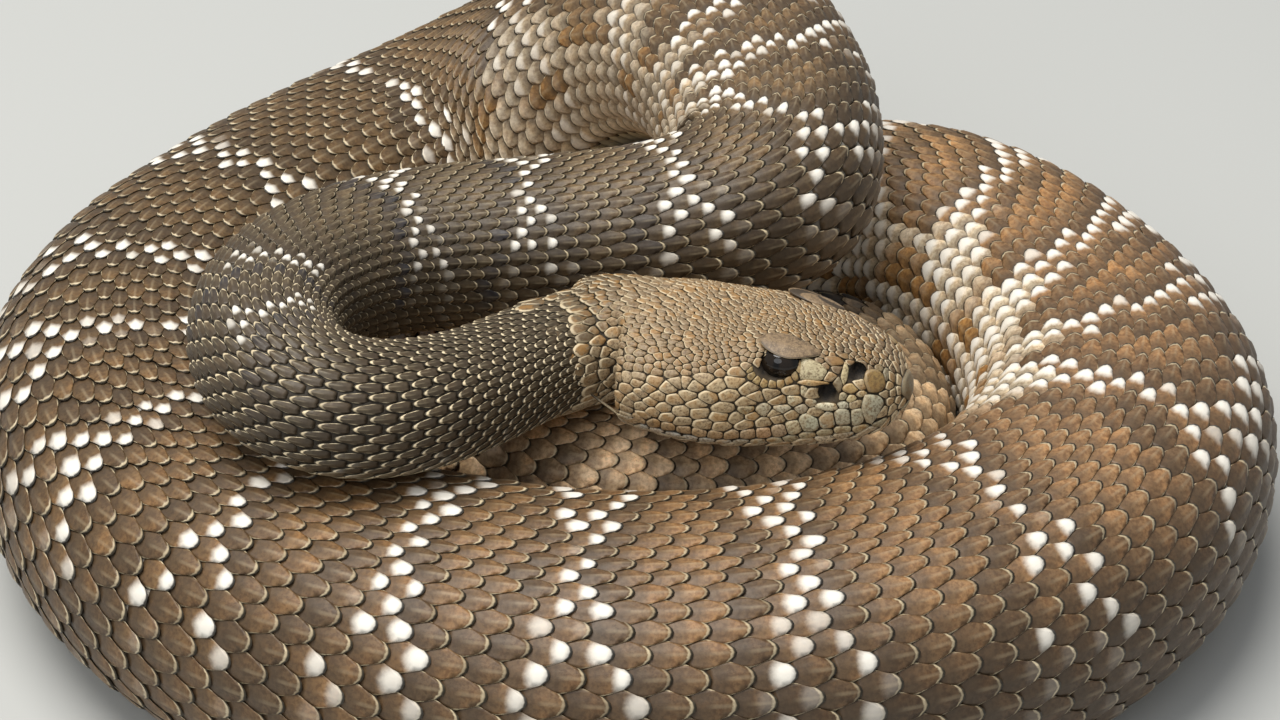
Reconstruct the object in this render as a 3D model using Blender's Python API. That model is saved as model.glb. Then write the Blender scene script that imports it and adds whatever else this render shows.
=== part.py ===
"""A western diamondback rattlesnake lying in its coil, at life size.

The body follows one line from the back of the head to the rattle. It is a row of stations, each
a rounded section with a flat belly, and it is parted into lengths that meet face to face. The
head is lofted from stations of its own. It carries brow plates, plates on the snout and along
both lips, nostrils and heat pits. Sizes are in millimetres here, and become metres as each mesh
is finished.
"""

import math

import bmesh
import bpy
import numpy as np
from mathutils import Matrix, Vector

METRES = 0.001

# Driving dimensions
GAP = 0.3
BELLY = 0.93
ROUNDNESS = 2.25
SIDES = 24
SAMPLES = 6
STRIDE = 2
SETTLE_PASSES = 10

# The lie of the body from the head back: x, y, height of the belly, half width, half height
LIE = (
    (-7.0, -32.3, 38.6, 8.7, 8.4),
    (-15.5, -36.6, 38.4, 8.8, 8.6),
    (-24.5, -46.5, 39.8, 9.1, 8.9),
    (-34.5, -56.6, 43.3, 9.8, 9.4),
    (-46.0, -57.6, 44.8, 10.4, 10.2),
    (-55.0, -46.0, 44.4, 11.2, 11.0),
    (-53.0, -27.0, 41.2, 12.0, 11.6),
    (-41.0, -13.5, 38.4, 12.6, 12.0),
    (-26.0, -8.6, 36.8, 13.0, 12.4),
    (-12.0, -7.0, 36.2, 13.3, 12.9),
    (1.8, -6.0, 36.4, 13.9, 13.4),
    (13.0, -2.6, 36.6, 15.0, 14.2),
    (20.5, 4.0, 36.4, 16.8, 15.2),
    (21.9, 17.0, 36.0, 17.5, 15.8),
    (19.8, 32.0, 35.6, 18.4, 16.2),
    (14.2, 48.0, 34.0, 19.3, 16.6),
    (4.0, 62.4, 25.6, 20.2, 17.4),
    (-10.4, 70.2, 13.4, 20.9, 18.2),
    (-28.2, 67.8, 4.0, 21.5, 19.1),
    (-46.2, 57.0, 0.4, 21.9, 19.7),
    (-64.4, 36.4, 0.0, 22.5, 20.2),
    (-79.2, 9.6, 0.0, 23.6, 21.2),
    (-81.0, -19.0, 0.0, 24.4, 22.0),
    (-70.0, -44.5, 0.0, 24.6, 22.2),
    (-50.0, -62.0, 0.0, 24.8, 22.4),
    (-25.0, -72.0, 0.0, 25.0, 22.6),
    (0.0, -75.5, 0.0, 25.0, 22.6),
    (25.0, -72.5, 0.0, 25.0, 22.6),
    (48.0, -62.5, 0.0, 25.0, 22.4),
    (67.0, -45.0, 0.0, 24.8, 22.2),
    (76.0, -22.0, 0.0, 24.4, 22.0),
    (73.0, 2.6, 0.0, 22.8, 20.6),
    (62.0, 26.4, 0.0, 21.4, 19.6),
    (44.6, 41.2, 0.0, 20.8, 18.7),
    (24.8, 42.8, 0.0, 20.0, 17.4),
    (4.0, 38.2, 0.0, 19.0, 17.0),
    (-14.0, 31.0, 0.0, 18.6, 17.4),
    (-27.3, 16.7, 0.0, 17.9, 17.8),
    (-33.2, -3.0, 0.0, 17.5, 18.0),
    (-28.0, -21.5, 0.0, 17.2, 18.0),
    (-10.0, -31.8, 0.0, 16.7, 18.0),
    (9.0, -32.9, 0.0, 16.2, 17.6),
    (22.5, -29.9, 0.0, 15.7, 17.0),
    (33.0, -22.5, 0.0, 15.2, 16.2),
    (37.8, -9.0, 0.0, 13.9, 14.4),
    (33.0, 5.4, 0.0, 13.0, 13.8),
    (20.5, 9.6, 0.0, 11.6, 12.8),
    (8.0, 8.5, 0.4, 10.1, 10.8),
    (-1.0, 4.9, 2.4, 8.8, 9.3),
    (-4.9, -0.4, 7.6, 7.8, 8.2),
    (-4.1, -6.4, 14.0, 7.0, 7.3),
    (1.0, -10.3, 20.0, 6.4, 6.6),
    (6.2, -11.3, 23.9, 5.8, 5.8),
    (10.5, -11.2, 24.8, 5.4, 5.3),
)

# Where each length of the body ends, by the number of the point above
LENGTHS = (
    ("neck", 3),
    ("body_01", 5),
    ("body_02", 7),
    ("body_03", 11),
    ("body_04", 13),
    ("body_05", 16),
    ("body_06", 18),
    ("body_07", 21),
    ("body_08", 24),
    ("body_09", 27),
    ("body_10", 30),
    ("body_11", 33),
    ("body_12", 36),
    ("body_13", 39),
    ("body_14", 42),
    ("body_15", 45),
    ("tail_base", 47),
    ("tail_middle", 50),
    ("tail_tip", 53),
)

# The head: how it is turned, and its stations from the neck to the snout
HEAD_TURN = math.radians(-17.0)
HEAD_PITCH = math.radians(2.0)
HEAD_ROLL = math.radians(7.0)
HEAD_BEND = 9.0
HEAD_SIDES = 36
HEAD_STATIONS = 26
SNOUT_ROUND = 6.0
# station, half width, crown, widest height, mouth, chin, upper and lower roundness
HEAD = (
    (0.0, 8.7, 8.4, 0.0, -2.0, -6.9, 2.25, 2.2),
    (1.8, 11.0, 8.6, 0.1, -2.2, -7.0, 2.3, 2.2),
    (4.0, 12.6, 8.8, 0.2, -2.4, -7.2, 2.35, 2.2),
    (8.0, 14.5, 9.1, 0.2, -2.9, -7.7, 2.4, 2.2),
    (13.0, 15.6, 9.2, 0.0, -3.6, -8.3, 2.6, 2.25),
    (18.0, 15.4, 9.2, -0.6, -4.3, -8.7, 2.8, 2.3),
    (24.0, 14.2, 9.4, -1.2, -4.9, -9.0, 3.2, 2.3),
    (30.0, 12.1, 9.7, -1.8, -4.8, -8.8, 3.9, 2.2),
    (35.0, 10.5, 9.2, -2.2, -4.0, -8.2, 4.0, 2.2),
    (40.0, 9.2, 8.2, -2.0, -3.0, -7.1, 3.6, 2.2),
    (44.0, 7.6, 6.8, -1.4, -2.3, -5.7, 3.2, 2.2),
    (46.8, 5.2, 4.7, -0.6, -1.7, -4.0, 2.8, 2.2),
    (48.2, 2.4, 2.4, 0.2, -1.0, -2.2, 2.4, 2.2),
)
HEAD_LENGTH = HEAD[-1][0]
MOUTH_CORNER = 10.0
JAW_INSET = 0.95
REACH = 30.0

EYE_RADIUS = 3.0
EYE_GAP = 0.35
EYE_STATION = 31.0
EYE_HEIGHT = 7.4
EYE_SUNK = 2.3
BROW_SIZE = (5.6, 2.3, 1.1)
BROW_STATION = 32.0
BROW_HEIGHT = 9.6
BROW_ACROSS = 8.4
BROW_TURN = math.radians(-9.0)
BROW_TILT = math.radians(3.0)
NOSTRIL = (42.3, 6.0, 1.5)
HEAT_PIT = (38.4, 2.4, 1.3)
PIT_DEPTH = 3.0
HOLE_INSET = 0.3

# Lip plates: how many on a side, how far above the mouth's line, then their depth and half height
UPPER_LIPS = (13, 1.35, 0.85, 1.15)
LOWER_LIPS = (11, -1.5, 0.8, 0.95)
LIP_FIRST = 13.0
LIP_LAST = 46.0
LIP_OVERLAP = 0.56
LIP_ROOT = 0.2
# Snout plates on each side: station, height, half length, depth, half height
SNOUT_PLATES = (
    (43.2, 4.6, 2.6, 0.9, 2.6),
    (39.4, 6.2, 1.8, 0.8, 1.6),
    (38.0, 3.6, 2.2, 0.8, 2.4),
    (36.0, 6.0, 2.6, 0.7, 1.8),
)
ROSTRAL = (46.6, 1.4, 1.6, 3.0, 2.6)

RATTLE_SEGMENTS = 6
RATTLE_END = 0.9
RATTLE_PITCH = 2.6
RATTLE_SIDES = 16
RATTLE_HALF_HEIGHT = (5.4, 4.0)
RATTLE_HALF_WIDTH = (4.0, 3.0)
# along one segment, how far out its wall stands
RATTLE_LOBE = ((0.0, 0.76), (0.25, 1.0), (0.55, 0.97), (0.78, 0.84))
RATTLE_FURROW = 0.14

BROWN = (0.235, 0.125, 0.062)
NECK_BROWN = (0.150, 0.115, 0.080)
HEAD_TAN = (0.330, 0.235, 0.135)
CHIN_PALE = (0.560, 0.530, 0.440)
TAIL_GREY = (0.300, 0.280, 0.240)
HORN = (0.420, 0.310, 0.180)
EYE_DARK = (0.012, 0.011, 0.010)


def catmull_rom(points, pieces):
    """A smooth run through the points, with this many pieces between two of them."""
    points = np.array(points, float)
    ends = np.vstack([2 * points[0] - points[1], points, 2 * points[-1] - points[-2]])
    run = []
    for a, b, c, d in zip(ends, ends[1:], ends[2:], ends[3:]):
        for step in range(pieces):
            t = step / pieces
            run.append(
                0.5 * (2 * b + (c - a) * t + (2 * a - 5 * b + 4 * c - d) * t**2
                       + (3 * b - 3 * c + d - a) * t**3)
            )
    run.append(points[-1])
    return np.array(run)


def settled(rows, passes):
    """The rows eased towards their neighbours, with both ends held."""
    for _ in range(passes):
        eased = rows.copy()
        eased[1:-1] = (rows[:-2] + 2 * rows[1:-1] + rows[2:]) / 4
        rows = eased
    return rows


def through(x, knots, values):
    """A smooth value at x through the values at the knots."""
    slopes = np.gradient(values, knots)
    i = int(np.clip(np.searchsorted(knots, x, side="right") - 1, 0, len(knots) - 2))
    span = knots[i + 1] - knots[i]
    t = (x - knots[i]) / span
    return (
        (2 * t**3 - 3 * t**2 + 1) * values[i]
        + (t**3 - 2 * t**2 + t) * span * slopes[i]
        + (3 * t**2 - 2 * t**3) * values[i + 1]
        + (t**3 - t**2) * span * slopes[i + 1]
    )


def unit(rows):
    return rows / np.linalg.norm(rows, axis=-1, keepdims=True)


def rounded(angle, power):
    """A point of the unit section at an angle from its top."""
    across, high = math.sin(angle), math.cos(angle)
    return (
        math.copysign(abs(across) ** (2 / power), across),
        max(math.copysign(abs(high) ** (2 / power), high), -BELLY),
    )


class Body:
    """The stations of the body, placed so that the coil's box is centred on the origin."""

    def __init__(self):
        rows = settled(catmull_rom(LIE, SAMPLES), SETTLE_PASSES)
        line = rows[:, :3]
        line[:, 2] = np.maximum(line[:, 2], 0)
        self.tangent = unit(np.gradient(line, axis=0))
        self.side = unit(np.cross(self.tangent, (0, 0, 1)))
        self.up = np.cross(self.side, self.tangent)
        self.half_width, self.half_height = rows[:, 3], rows[:, 4]
        self.centre = line + self.up * (BELLY * self.half_height)[:, None]
        outline = np.concatenate([self.ring(i) for i in range(0, len(rows), STRIDE)])
        middle = (outline.min(axis=0) + outline.max(axis=0)) / 2
        self.centre = self.centre - (middle[0], middle[1], 0)

    def ring(self, i, slide=0.0):
        """The section at station i, moved along the body by slide."""
        start = self.centre[i] + slide * self.tangent[i]
        points = []
        for k in range(SIDES):
            across, high = rounded(2 * math.pi * k / SIDES, ROUNDNESS)
            points.append(
                start
                + across * self.half_width[i] * self.side[i]
                + high * self.half_height[i] * self.up[i]
            )
        return np.array(points)

    def length(self, first, last):
        """The rings of the body between two of the points of its lie, short of both by half a gap."""
        first, last = first * SAMPLES, last * SAMPLES
        middle = [self.ring(i) for i in range(first + STRIDE, last, STRIDE)]
        return [self.ring(first, GAP / 2), *middle, self.ring(last, -GAP / 2)]


class Head:
    """The head's own space: station forwards from the neck, then left, then up."""

    def __init__(self, body):
        turn, pitch, roll = HEAD_TURN, HEAD_PITCH, HEAD_ROLL
        self.start = body.centre[0]
        level_ahead = np.array([math.cos(turn), math.sin(turn), 0.0])
        self.ahead = level_ahead * math.cos(pitch) + np.array([0.0, 0.0, math.sin(pitch)])
        level = np.array([-math.sin(turn), math.cos(turn), 0.0])
        upright = np.cross(self.ahead, level)
        self.left = level * math.cos(roll) - upright * math.sin(roll)
        self.up = upright * math.cos(roll) + level * math.sin(roll)
        self.neck_ahead, self.neck_up = -body.tangent[0], body.up[0]
        self.knots = np.array([row[0] for row in HEAD])
        self.table = np.array([row[1:] for row in HEAD])

    def shape(self, station):
        """Half width, crown, widest height, mouth, chin and the two roundnesses at a station."""
        return [through(station, self.knots, column) for column in self.table.T]

    def frame(self, station):
        """Where the head's axis is at a station, with its left and up: it bends into the neck."""
        if station >= HEAD_BEND:
            return self.start + self.ahead * station, self.left, self.up
        t = station / HEAD_BEND
        joined = self.start + self.ahead * HEAD_BEND
        place = (
            (2 * t**3 - 3 * t**2 + 1) * self.start
            + (t**3 - 2 * t**2 + t) * HEAD_BEND * self.neck_ahead
            + (3 * t**2 - 2 * t**3) * joined
            + (t**3 - t**2) * HEAD_BEND * self.ahead
        )
        blend = t * t * (3 - 2 * t)
        ahead = unit((1 - blend) * self.neck_ahead + blend * self.ahead)
        up = (1 - blend) * self.neck_up + blend * self.up
        up = unit(up - ahead * np.dot(up, ahead))
        return place, np.cross(up, ahead), up

    def point(self, station, left, up):
        place, sideways, upwards = self.frame(station)
        return place + sideways * left + upwards * up

    def ring(self, station, inset):
        """The section at a station, with its width times inset."""
        width, crown, widest, _, chin, upper, lower = self.shape(station)
        points = []
        for k in range(HEAD_SIDES):
            angle = 2 * math.pi * k / HEAD_SIDES
            across, high = rounded(angle, upper if math.cos(angle) >= 0 else lower)
            reach = crown - widest if high >= 0 else (widest - chin) / BELLY
            points.append(self.point(station, across * width * inset, widest + high * reach))
        return np.array(points)

    def half_width(self, station, height):
        """How far out the head's side is at a station and a height."""
        width, crown, widest, _, chin, upper, lower = self.shape(station)
        if height >= widest:
            share, power = (height - widest) / (crown - widest), upper
        else:
            share, power = (widest - height) * BELLY / (widest - chin), lower
        return width * max(0.0, 1 - share**power) ** (1 / power)

    def matrix(self, station, left, up):
        """A frame on the head, with x forwards, y left and z up."""
        place, sideways, upwards = self.frame(station)
        ahead = np.cross(sideways, upwards)
        rows = Matrix([ahead, sideways, upwards]).transposed().to_4x4()
        return Matrix.Translation(Vector(self.point(station, left, up))) @ rows


def loft(rings):
    """A closed mesh through the rings, which have the same number of points."""
    form = bmesh.new()
    bmesh.ops.create_circle(form, cap_ends=True, segments=len(rings[0]), radius=1)
    end = form.faces[:][0]
    for vertex, place in zip(end.verts, rings[0]):
        vertex.co = place
    for number, ring in enumerate(rings[1:]):
        grown = bmesh.ops.extrude_face_region(form, geom=[end])
        if number > 0:
            bmesh.ops.delete(form, geom=[end], context="FACES_ONLY")
        end = next(item for item in grown["geom"] if isinstance(item, bmesh.types.BMFace))
        for vertex, place in zip(end.verts, ring):
            vertex.co = place
    bmesh.ops.recalc_face_normals(form, faces=form.faces)
    return form


def ellipsoid(matrix, radii, around=8, rows=5):
    form = bmesh.new()
    shape = matrix @ Matrix.Diagonal((*radii, 1))
    bmesh.ops.create_uvsphere(form, u_segments=around, v_segments=rows, radius=1, matrix=shape)
    return form


def prism(outline, reach, matrix):
    """A flat outline of station and height, as a solid that reaches to both sides of the head."""
    form = bmesh.new()
    corners = [form.verts.new(matrix @ Vector((x, -reach, z))) for x, z in outline]
    face = form.faces.new(corners)
    grown = bmesh.ops.extrude_face_region(form, geom=[face])
    moved = [item for item in grown["geom"] if isinstance(item, bmesh.types.BMVert)]
    across = matrix.to_3x3() @ Vector((0, 2 * reach, 0))
    bmesh.ops.translate(form, verts=moved, vec=across)
    bmesh.ops.recalc_face_normals(form, faces=form.faces)
    return form


def mesh_of(form):
    mesh = bpy.data.meshes.new("form")
    form.to_mesh(mesh)
    form.free()
    return mesh


def keep_largest(form):
    """Leaves only the closed surface with the most volume."""
    islands, seen = [], set()
    for seed in form.faces:
        if seed in seen:
            continue
        island, queue = [], [seed]
        seen.add(seed)
        while queue:
            face = queue.pop()
            island.append(face)
            for edge in face.edges:
                for other in edge.link_faces:
                    if other not in seen:
                        seen.add(other)
                        queue.append(other)
        islands.append(island)
    islands.sort(key=lambda faces: sum(face.calc_area() for face in faces))
    dropped = [face for island in islands[:-1] for face in island]
    bmesh.ops.delete(form, geom=dropped, context="FACES")


def combined(form, others, operation):
    """The form after one Boolean with a collection of closed meshes, which are then removed."""
    base = bpy.data.objects.new("base", mesh_of(form))
    bpy.context.scene.collection.objects.link(base)
    tools = bpy.data.collections.new("tools")
    bpy.context.scene.collection.children.link(tools)
    for other in others:
        tools.objects.link(bpy.data.objects.new("tool", mesh_of(other)))
    step = base.modifiers.new("join", "BOOLEAN")
    step.operation = operation
    step.operand_type = "COLLECTION"
    step.collection = tools
    step.solver = "EXACT"
    graph = bpy.context.evaluated_depsgraph_get()
    result = bmesh.new()
    result.from_mesh(base.evaluated_get(graph).to_mesh())
    for item in [base, *tools.objects]:
        bpy.data.objects.remove(item)
    bpy.data.collections.remove(tools)
    keep_largest(result)
    return result


def finish(name, form, colour, roughness):
    """Turns a form into the named node, in metres, with its material."""
    bmesh.ops.scale(form, vec=(METRES, METRES, METRES), verts=form.verts)
    mesh = mesh_of(form)
    mesh.name = name
    mesh.shade_smooth()
    mesh.set_sharp_from_angle(angle=math.radians(40))
    material = bpy.data.materials.new(name)
    material.use_nodes = True
    shader = material.node_tree.nodes["Principled BSDF"]
    shader.inputs["Base Color"].default_value = (*colour, 1)
    shader.inputs["Roughness"].default_value = roughness
    shader.inputs["Metallic"].default_value = 0
    mesh.materials.append(material)
    node = bpy.data.objects.new(name, mesh)
    bpy.context.scene.collection.objects.link(node)
    return node


def mouth_region(head, gap):
    """The space of the lower jaw: under the line of the mouth and in front of its corner."""
    stations = np.linspace(MOUTH_CORNER - gap, HEAD_LENGTH, 14)
    line = [(station, head.shape(station)[3] + gap) for station in stations]
    line.append((HEAD_LENGTH + REACH, line[-1][1]))
    outline = [*line, (HEAD_LENGTH + REACH, -REACH), (MOUTH_CORNER - gap, -REACH)]
    axis = head.matrix(HEAD_BEND, 0, 0) @ Matrix.Translation((-HEAD_BEND, 0, 0))
    return prism(outline, REACH, axis)


def head_form(head, inset):
    straight = HEAD_LENGTH - SNOUT_ROUND
    stations = list(np.linspace(GAP / 2, straight, HEAD_STATIONS))
    stations += [straight + SNOUT_ROUND * math.sin(math.pi / 2 * k / 6) for k in range(1, 7)]
    return loft([head.ring(station, inset) for station in stations])


def on_the_side(head, station, side, height, inset=1.0):
    """A frame on one side of the head, with x along the head's wall there."""
    out = head.half_width(station, height) * inset
    further = head.half_width(station + 1, height) * inset
    along = Matrix.Rotation(side * math.atan2(further - out, 1), 4, "Z")
    return head.matrix(station, side * (out - LIP_ROOT), height) @ along


def lip_plates(head, row, inset):
    """A row of plates along both sides of the mouth."""
    count, lift, depth, half_height = row
    plates = []
    pitch = (LIP_LAST - LIP_FIRST) / count
    for side in (1, -1):
        for k in range(count):
            station = LIP_FIRST + pitch * (k + 0.5)
            height = head.shape(station)[3] + lift
            frame = on_the_side(head, station, side, height, inset)
            plates.append(ellipsoid(frame, (pitch * LIP_OVERLAP, depth, half_height), 6, 4))
    return plates


def snout_plates(head):
    plates = []
    for station, height, half_length, depth, half_height in SNOUT_PLATES:
        for side in (1, -1):
            frame = on_the_side(head, station, side, height)
            plates.append(ellipsoid(frame, (half_length, depth, half_height), 8, 5))
    station, height, *radii = ROSTRAL
    plates.append(ellipsoid(head.matrix(station, 0, height), radii, 10, 6))
    return plates


def brow_plates(head):
    plates = []
    for side in (1, -1):
        frame = head.matrix(BROW_STATION, side * BROW_ACROSS, BROW_HEIGHT)
        tilt = Matrix.Rotation(side * BROW_TURN, 4, "Z") @ Matrix.Rotation(BROW_TILT, 4, "Y")
        plates.append(ellipsoid(frame @ tilt, BROW_SIZE, 12, 8))
    return plates


def eye_places(head):
    out = head.half_width(EYE_STATION, EYE_HEIGHT) - EYE_SUNK
    return {
        "eye_left": head.matrix(EYE_STATION, out, EYE_HEIGHT),
        "eye_right": head.matrix(EYE_STATION, -out, EYE_HEIGHT),
    }


def face_holes(head):
    """The cutters of both eye sockets, nostrils and heat pits."""
    socket = (EYE_RADIUS + EYE_GAP,) * 3
    cutters = [ellipsoid(place, socket, 16, 10) for place in eye_places(head).values()]
    for station, height, radius in (NOSTRIL, HEAT_PIT):
        out = head.half_width(station, height)
        for side in (1, -1):
            frame = head.matrix(station, side * (out - HOLE_INSET), height)
            cutters.append(ellipsoid(frame, (radius, PIT_DEPTH * 0.6, radius * 0.9), 10, 6))
    return cutters


def rattle_form(body):
    """Horny segments one behind another, each a lobed ring with a furrow down both sides."""
    last = len(body.centre) - 1
    axis, side, up = body.tangent[last], body.side[last], body.up[last]
    base = body.centre[last] + axis * GAP / 2
    total = RATTLE_SEGMENTS + RATTLE_END
    rings = []
    for segment in range(RATTLE_SEGMENTS + 1):
        for along, out in RATTLE_LOBE:
            share = (segment + along) / total
            high = out * (RATTLE_HALF_HEIGHT[0] * (1 - share) + RATTLE_HALF_HEIGHT[1] * share)
            wide = out * (RATTLE_HALF_WIDTH[0] * (1 - share) + RATTLE_HALF_WIDTH[1] * share)
            place = base + axis * RATTLE_PITCH * (segment + along)
            ring = []
            for k in range(RATTLE_SIDES):
                angle = 2 * math.pi * k / RATTLE_SIDES
                across = math.sin(angle) * (1 - RATTLE_FURROW * math.sin(angle) ** 8)
                ring.append(place + side * wide * across + up * high * math.cos(angle))
            rings.append(np.array(ring))
    return loft(rings)


def build():
    for item in list(bpy.data.objects):
        bpy.data.objects.remove(item)

    body = Body()
    head = Head(body)
    first = 0
    for name, last in LENGTHS:
        colour = NECK_BROWN if name == "neck" else TAIL_GREY if name.startswith("tail") else BROWN
        finish(name, loft(body.length(first, last)), colour, 0.55)
        first = last

    upper = combined(head_form(head, 1.0), [mouth_region(head, GAP / 2)], "DIFFERENCE")
    plates = brow_plates(head) + snout_plates(head) + lip_plates(head, UPPER_LIPS, 1.0)
    upper = combined(upper, plates, "UNION")
    finish("head", combined(upper, face_holes(head), "DIFFERENCE"), HEAD_TAN, 0.5)
    lower = combined(head_form(head, JAW_INSET), [mouth_region(head, -GAP / 2)], "INTERSECT")
    lower = combined(lower, lip_plates(head, LOWER_LIPS, JAW_INSET), "UNION")
    finish("lower_jaw", lower, CHIN_PALE, 0.5)
    for name, place in eye_places(head).items():
        finish(name, ellipsoid(place, (EYE_RADIUS,) * 3, 14, 8), EYE_DARK, 0.08)
    finish("rattle", rattle_form(body), HORN, 0.45)


build()
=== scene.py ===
import math

import bmesh
import bpy
import numpy as np
from mathutils import Matrix, Vector
from mathutils.kdtree import KDTree


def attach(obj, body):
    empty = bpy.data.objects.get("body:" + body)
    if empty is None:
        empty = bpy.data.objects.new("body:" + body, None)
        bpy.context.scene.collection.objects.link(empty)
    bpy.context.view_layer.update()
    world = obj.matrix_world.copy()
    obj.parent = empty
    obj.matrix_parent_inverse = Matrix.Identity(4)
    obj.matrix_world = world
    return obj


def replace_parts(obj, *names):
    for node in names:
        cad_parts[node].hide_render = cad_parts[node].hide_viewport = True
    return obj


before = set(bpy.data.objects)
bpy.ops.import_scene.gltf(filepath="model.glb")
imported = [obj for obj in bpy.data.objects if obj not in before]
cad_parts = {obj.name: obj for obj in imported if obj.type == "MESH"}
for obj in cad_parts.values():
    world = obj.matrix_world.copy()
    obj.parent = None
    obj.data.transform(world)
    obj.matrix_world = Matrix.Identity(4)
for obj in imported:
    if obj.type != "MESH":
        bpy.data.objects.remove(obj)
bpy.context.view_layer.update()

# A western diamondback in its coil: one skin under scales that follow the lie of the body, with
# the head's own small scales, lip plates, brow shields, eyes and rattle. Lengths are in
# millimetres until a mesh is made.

METRES = 0.001

# The same driving sizes as the solids
BELLY = 0.93
ROUNDNESS = 2.25
SIDES = 24
SAMPLES = 6
STRIDE = 2
SETTLE_PASSES = 10
# The lie of the body: x, y and the belly's height, half width and half height
LIE = (
    (-7.0, -32.3, 38.6, 8.7, 8.4),
    (-15.5, -36.6, 38.4, 8.8, 8.6),
    (-24.5, -46.5, 39.8, 9.1, 8.9),
    (-34.5, -56.6, 43.3, 9.8, 9.4),
    (-46.0, -57.6, 44.8, 10.4, 10.2),
    (-55.0, -46.0, 44.4, 11.2, 11.0),
    (-53.0, -27.0, 41.2, 12.0, 11.6),
    (-41.0, -13.5, 38.4, 12.6, 12.0),
    (-26.0, -8.6, 36.8, 13.0, 12.4),
    (-12.0, -7.0, 36.2, 13.3, 12.9),
    (1.8, -6.0, 36.4, 13.9, 13.4),
    (13.0, -2.6, 36.6, 15.0, 14.2),
    (20.5, 4.0, 36.4, 16.8, 15.2),
    (21.9, 17.0, 36.0, 17.5, 15.8),
    (19.8, 32.0, 35.6, 18.4, 16.2),
    (14.2, 48.0, 34.0, 19.3, 16.6),
    (4.0, 62.4, 25.6, 20.2, 17.4),
    (-10.4, 70.2, 13.4, 20.9, 18.2),
    (-28.2, 67.8, 4.0, 21.5, 19.1),
    (-46.2, 57.0, 0.4, 21.9, 19.7),
    (-64.4, 36.4, 0.0, 22.5, 20.2),
    (-79.2, 9.6, 0.0, 23.6, 21.2),
    (-81.0, -19.0, 0.0, 24.4, 22.0),
    (-70.0, -44.5, 0.0, 24.6, 22.2),
    (-50.0, -62.0, 0.0, 24.8, 22.4),
    (-25.0, -72.0, 0.0, 25.0, 22.6),
    (0.0, -75.5, 0.0, 25.0, 22.6),
    (25.0, -72.5, 0.0, 25.0, 22.6),
    (48.0, -62.5, 0.0, 25.0, 22.4),
    (67.0, -45.0, 0.0, 24.8, 22.2),
    (76.0, -22.0, 0.0, 24.4, 22.0),
    (73.0, 2.6, 0.0, 22.8, 20.6),
    (62.0, 26.4, 0.0, 21.4, 19.6),
    (44.6, 41.2, 0.0, 20.8, 18.7),
    (24.8, 42.8, 0.0, 20.0, 17.4),
    (4.0, 38.2, 0.0, 19.0, 17.0),
    (-14.0, 31.0, 0.0, 18.6, 17.4),
    (-27.3, 16.7, 0.0, 17.9, 17.8),
    (-33.2, -3.0, 0.0, 17.5, 18.0),
    (-28.0, -21.5, 0.0, 17.2, 18.0),
    (-10.0, -31.8, 0.0, 16.7, 18.0),
    (9.0, -32.9, 0.0, 16.2, 17.6),
    (22.5, -29.9, 0.0, 15.7, 17.0),
    (33.0, -22.5, 0.0, 15.2, 16.2),
    (37.8, -9.0, 0.0, 13.9, 14.4),
    (33.0, 5.4, 0.0, 13.0, 13.8),
    (20.5, 9.6, 0.0, 11.6, 12.8),
    (8.0, 8.5, 0.4, 10.1, 10.8),
    (-1.0, 4.9, 2.4, 8.8, 9.3),
    (-4.9, -0.4, 7.6, 7.8, 8.2),
    (-4.1, -6.4, 14.0, 7.0, 7.3),
    (1.0, -10.3, 20.0, 6.4, 6.6),
    (6.2, -11.3, 23.9, 5.8, 5.8),
    (10.5, -11.2, 24.8, 5.4, 5.3),
)

HEAD_TURN = math.radians(-17.0)
HEAD_PITCH = math.radians(2.0)
HEAD_ROLL = math.radians(7.0)
HEAD_BEND = 9.0
# station, half width, crown, widest height, mouth, chin, upper and lower roundness
HEAD = (
    (0.0, 8.7, 8.4, 0.0, -2.0, -6.9, 2.25, 2.2),
    (1.8, 11.0, 8.6, 0.1, -2.2, -7.0, 2.3, 2.2),
    (4.0, 12.6, 8.8, 0.2, -2.4, -7.2, 2.35, 2.2),
    (8.0, 14.5, 9.1, 0.2, -2.9, -7.7, 2.4, 2.2),
    (13.0, 15.6, 9.2, 0.0, -3.6, -8.3, 2.6, 2.25),
    (18.0, 15.4, 9.2, -0.6, -4.3, -8.7, 2.8, 2.3),
    (24.0, 14.2, 9.4, -1.2, -4.9, -9.0, 3.2, 2.3),
    (30.0, 12.1, 9.7, -1.8, -4.8, -8.8, 3.9, 2.2),
    (35.0, 10.5, 9.2, -2.2, -4.0, -8.2, 4.0, 2.2),
    (40.0, 9.2, 8.2, -2.0, -3.0, -7.1, 3.6, 2.2),
    (44.0, 7.6, 6.8, -1.4, -2.3, -5.7, 3.2, 2.2),
    (46.8, 5.2, 4.7, -0.6, -1.7, -4.0, 2.8, 2.2),
    (48.2, 2.4, 2.4, 0.2, -1.0, -2.2, 2.4, 2.2),
)
HEAD_LENGTH = HEAD[-1][0]
MOUTH_CORNER = 10.0
EYE_STATION = 31.0
EYE_HEIGHT = 7.4
EYE_SUNK = 2.3
# Station and height
NOSTRIL = (42.3, 6.0)
HEAT_PIT = (38.4, 2.4)
# The rattle: its segments, its last part of one, their step, and half sizes at base and end
RATTLE_SEGMENTS = 6
RATTLE_END = 0.9
RATTLE_PITCH = 2.6
RATTLE_HALF_HEIGHT = (5.4, 4.0)
RATTLE_HALF_WIDTH = (4.0, 3.0)
GAP = 0.3

# The map of the surface: how many points round a section, and the space between sections
MAP_ROUND = 128
MAP_STEP = 0.75
SECTION_POINTS = 240
HEAD_STEP = 0.4
# Ahead of this station the sections crowd together towards the snout's tip
SNOUT_START = 40
SNOUT_STEPS = 60


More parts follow.
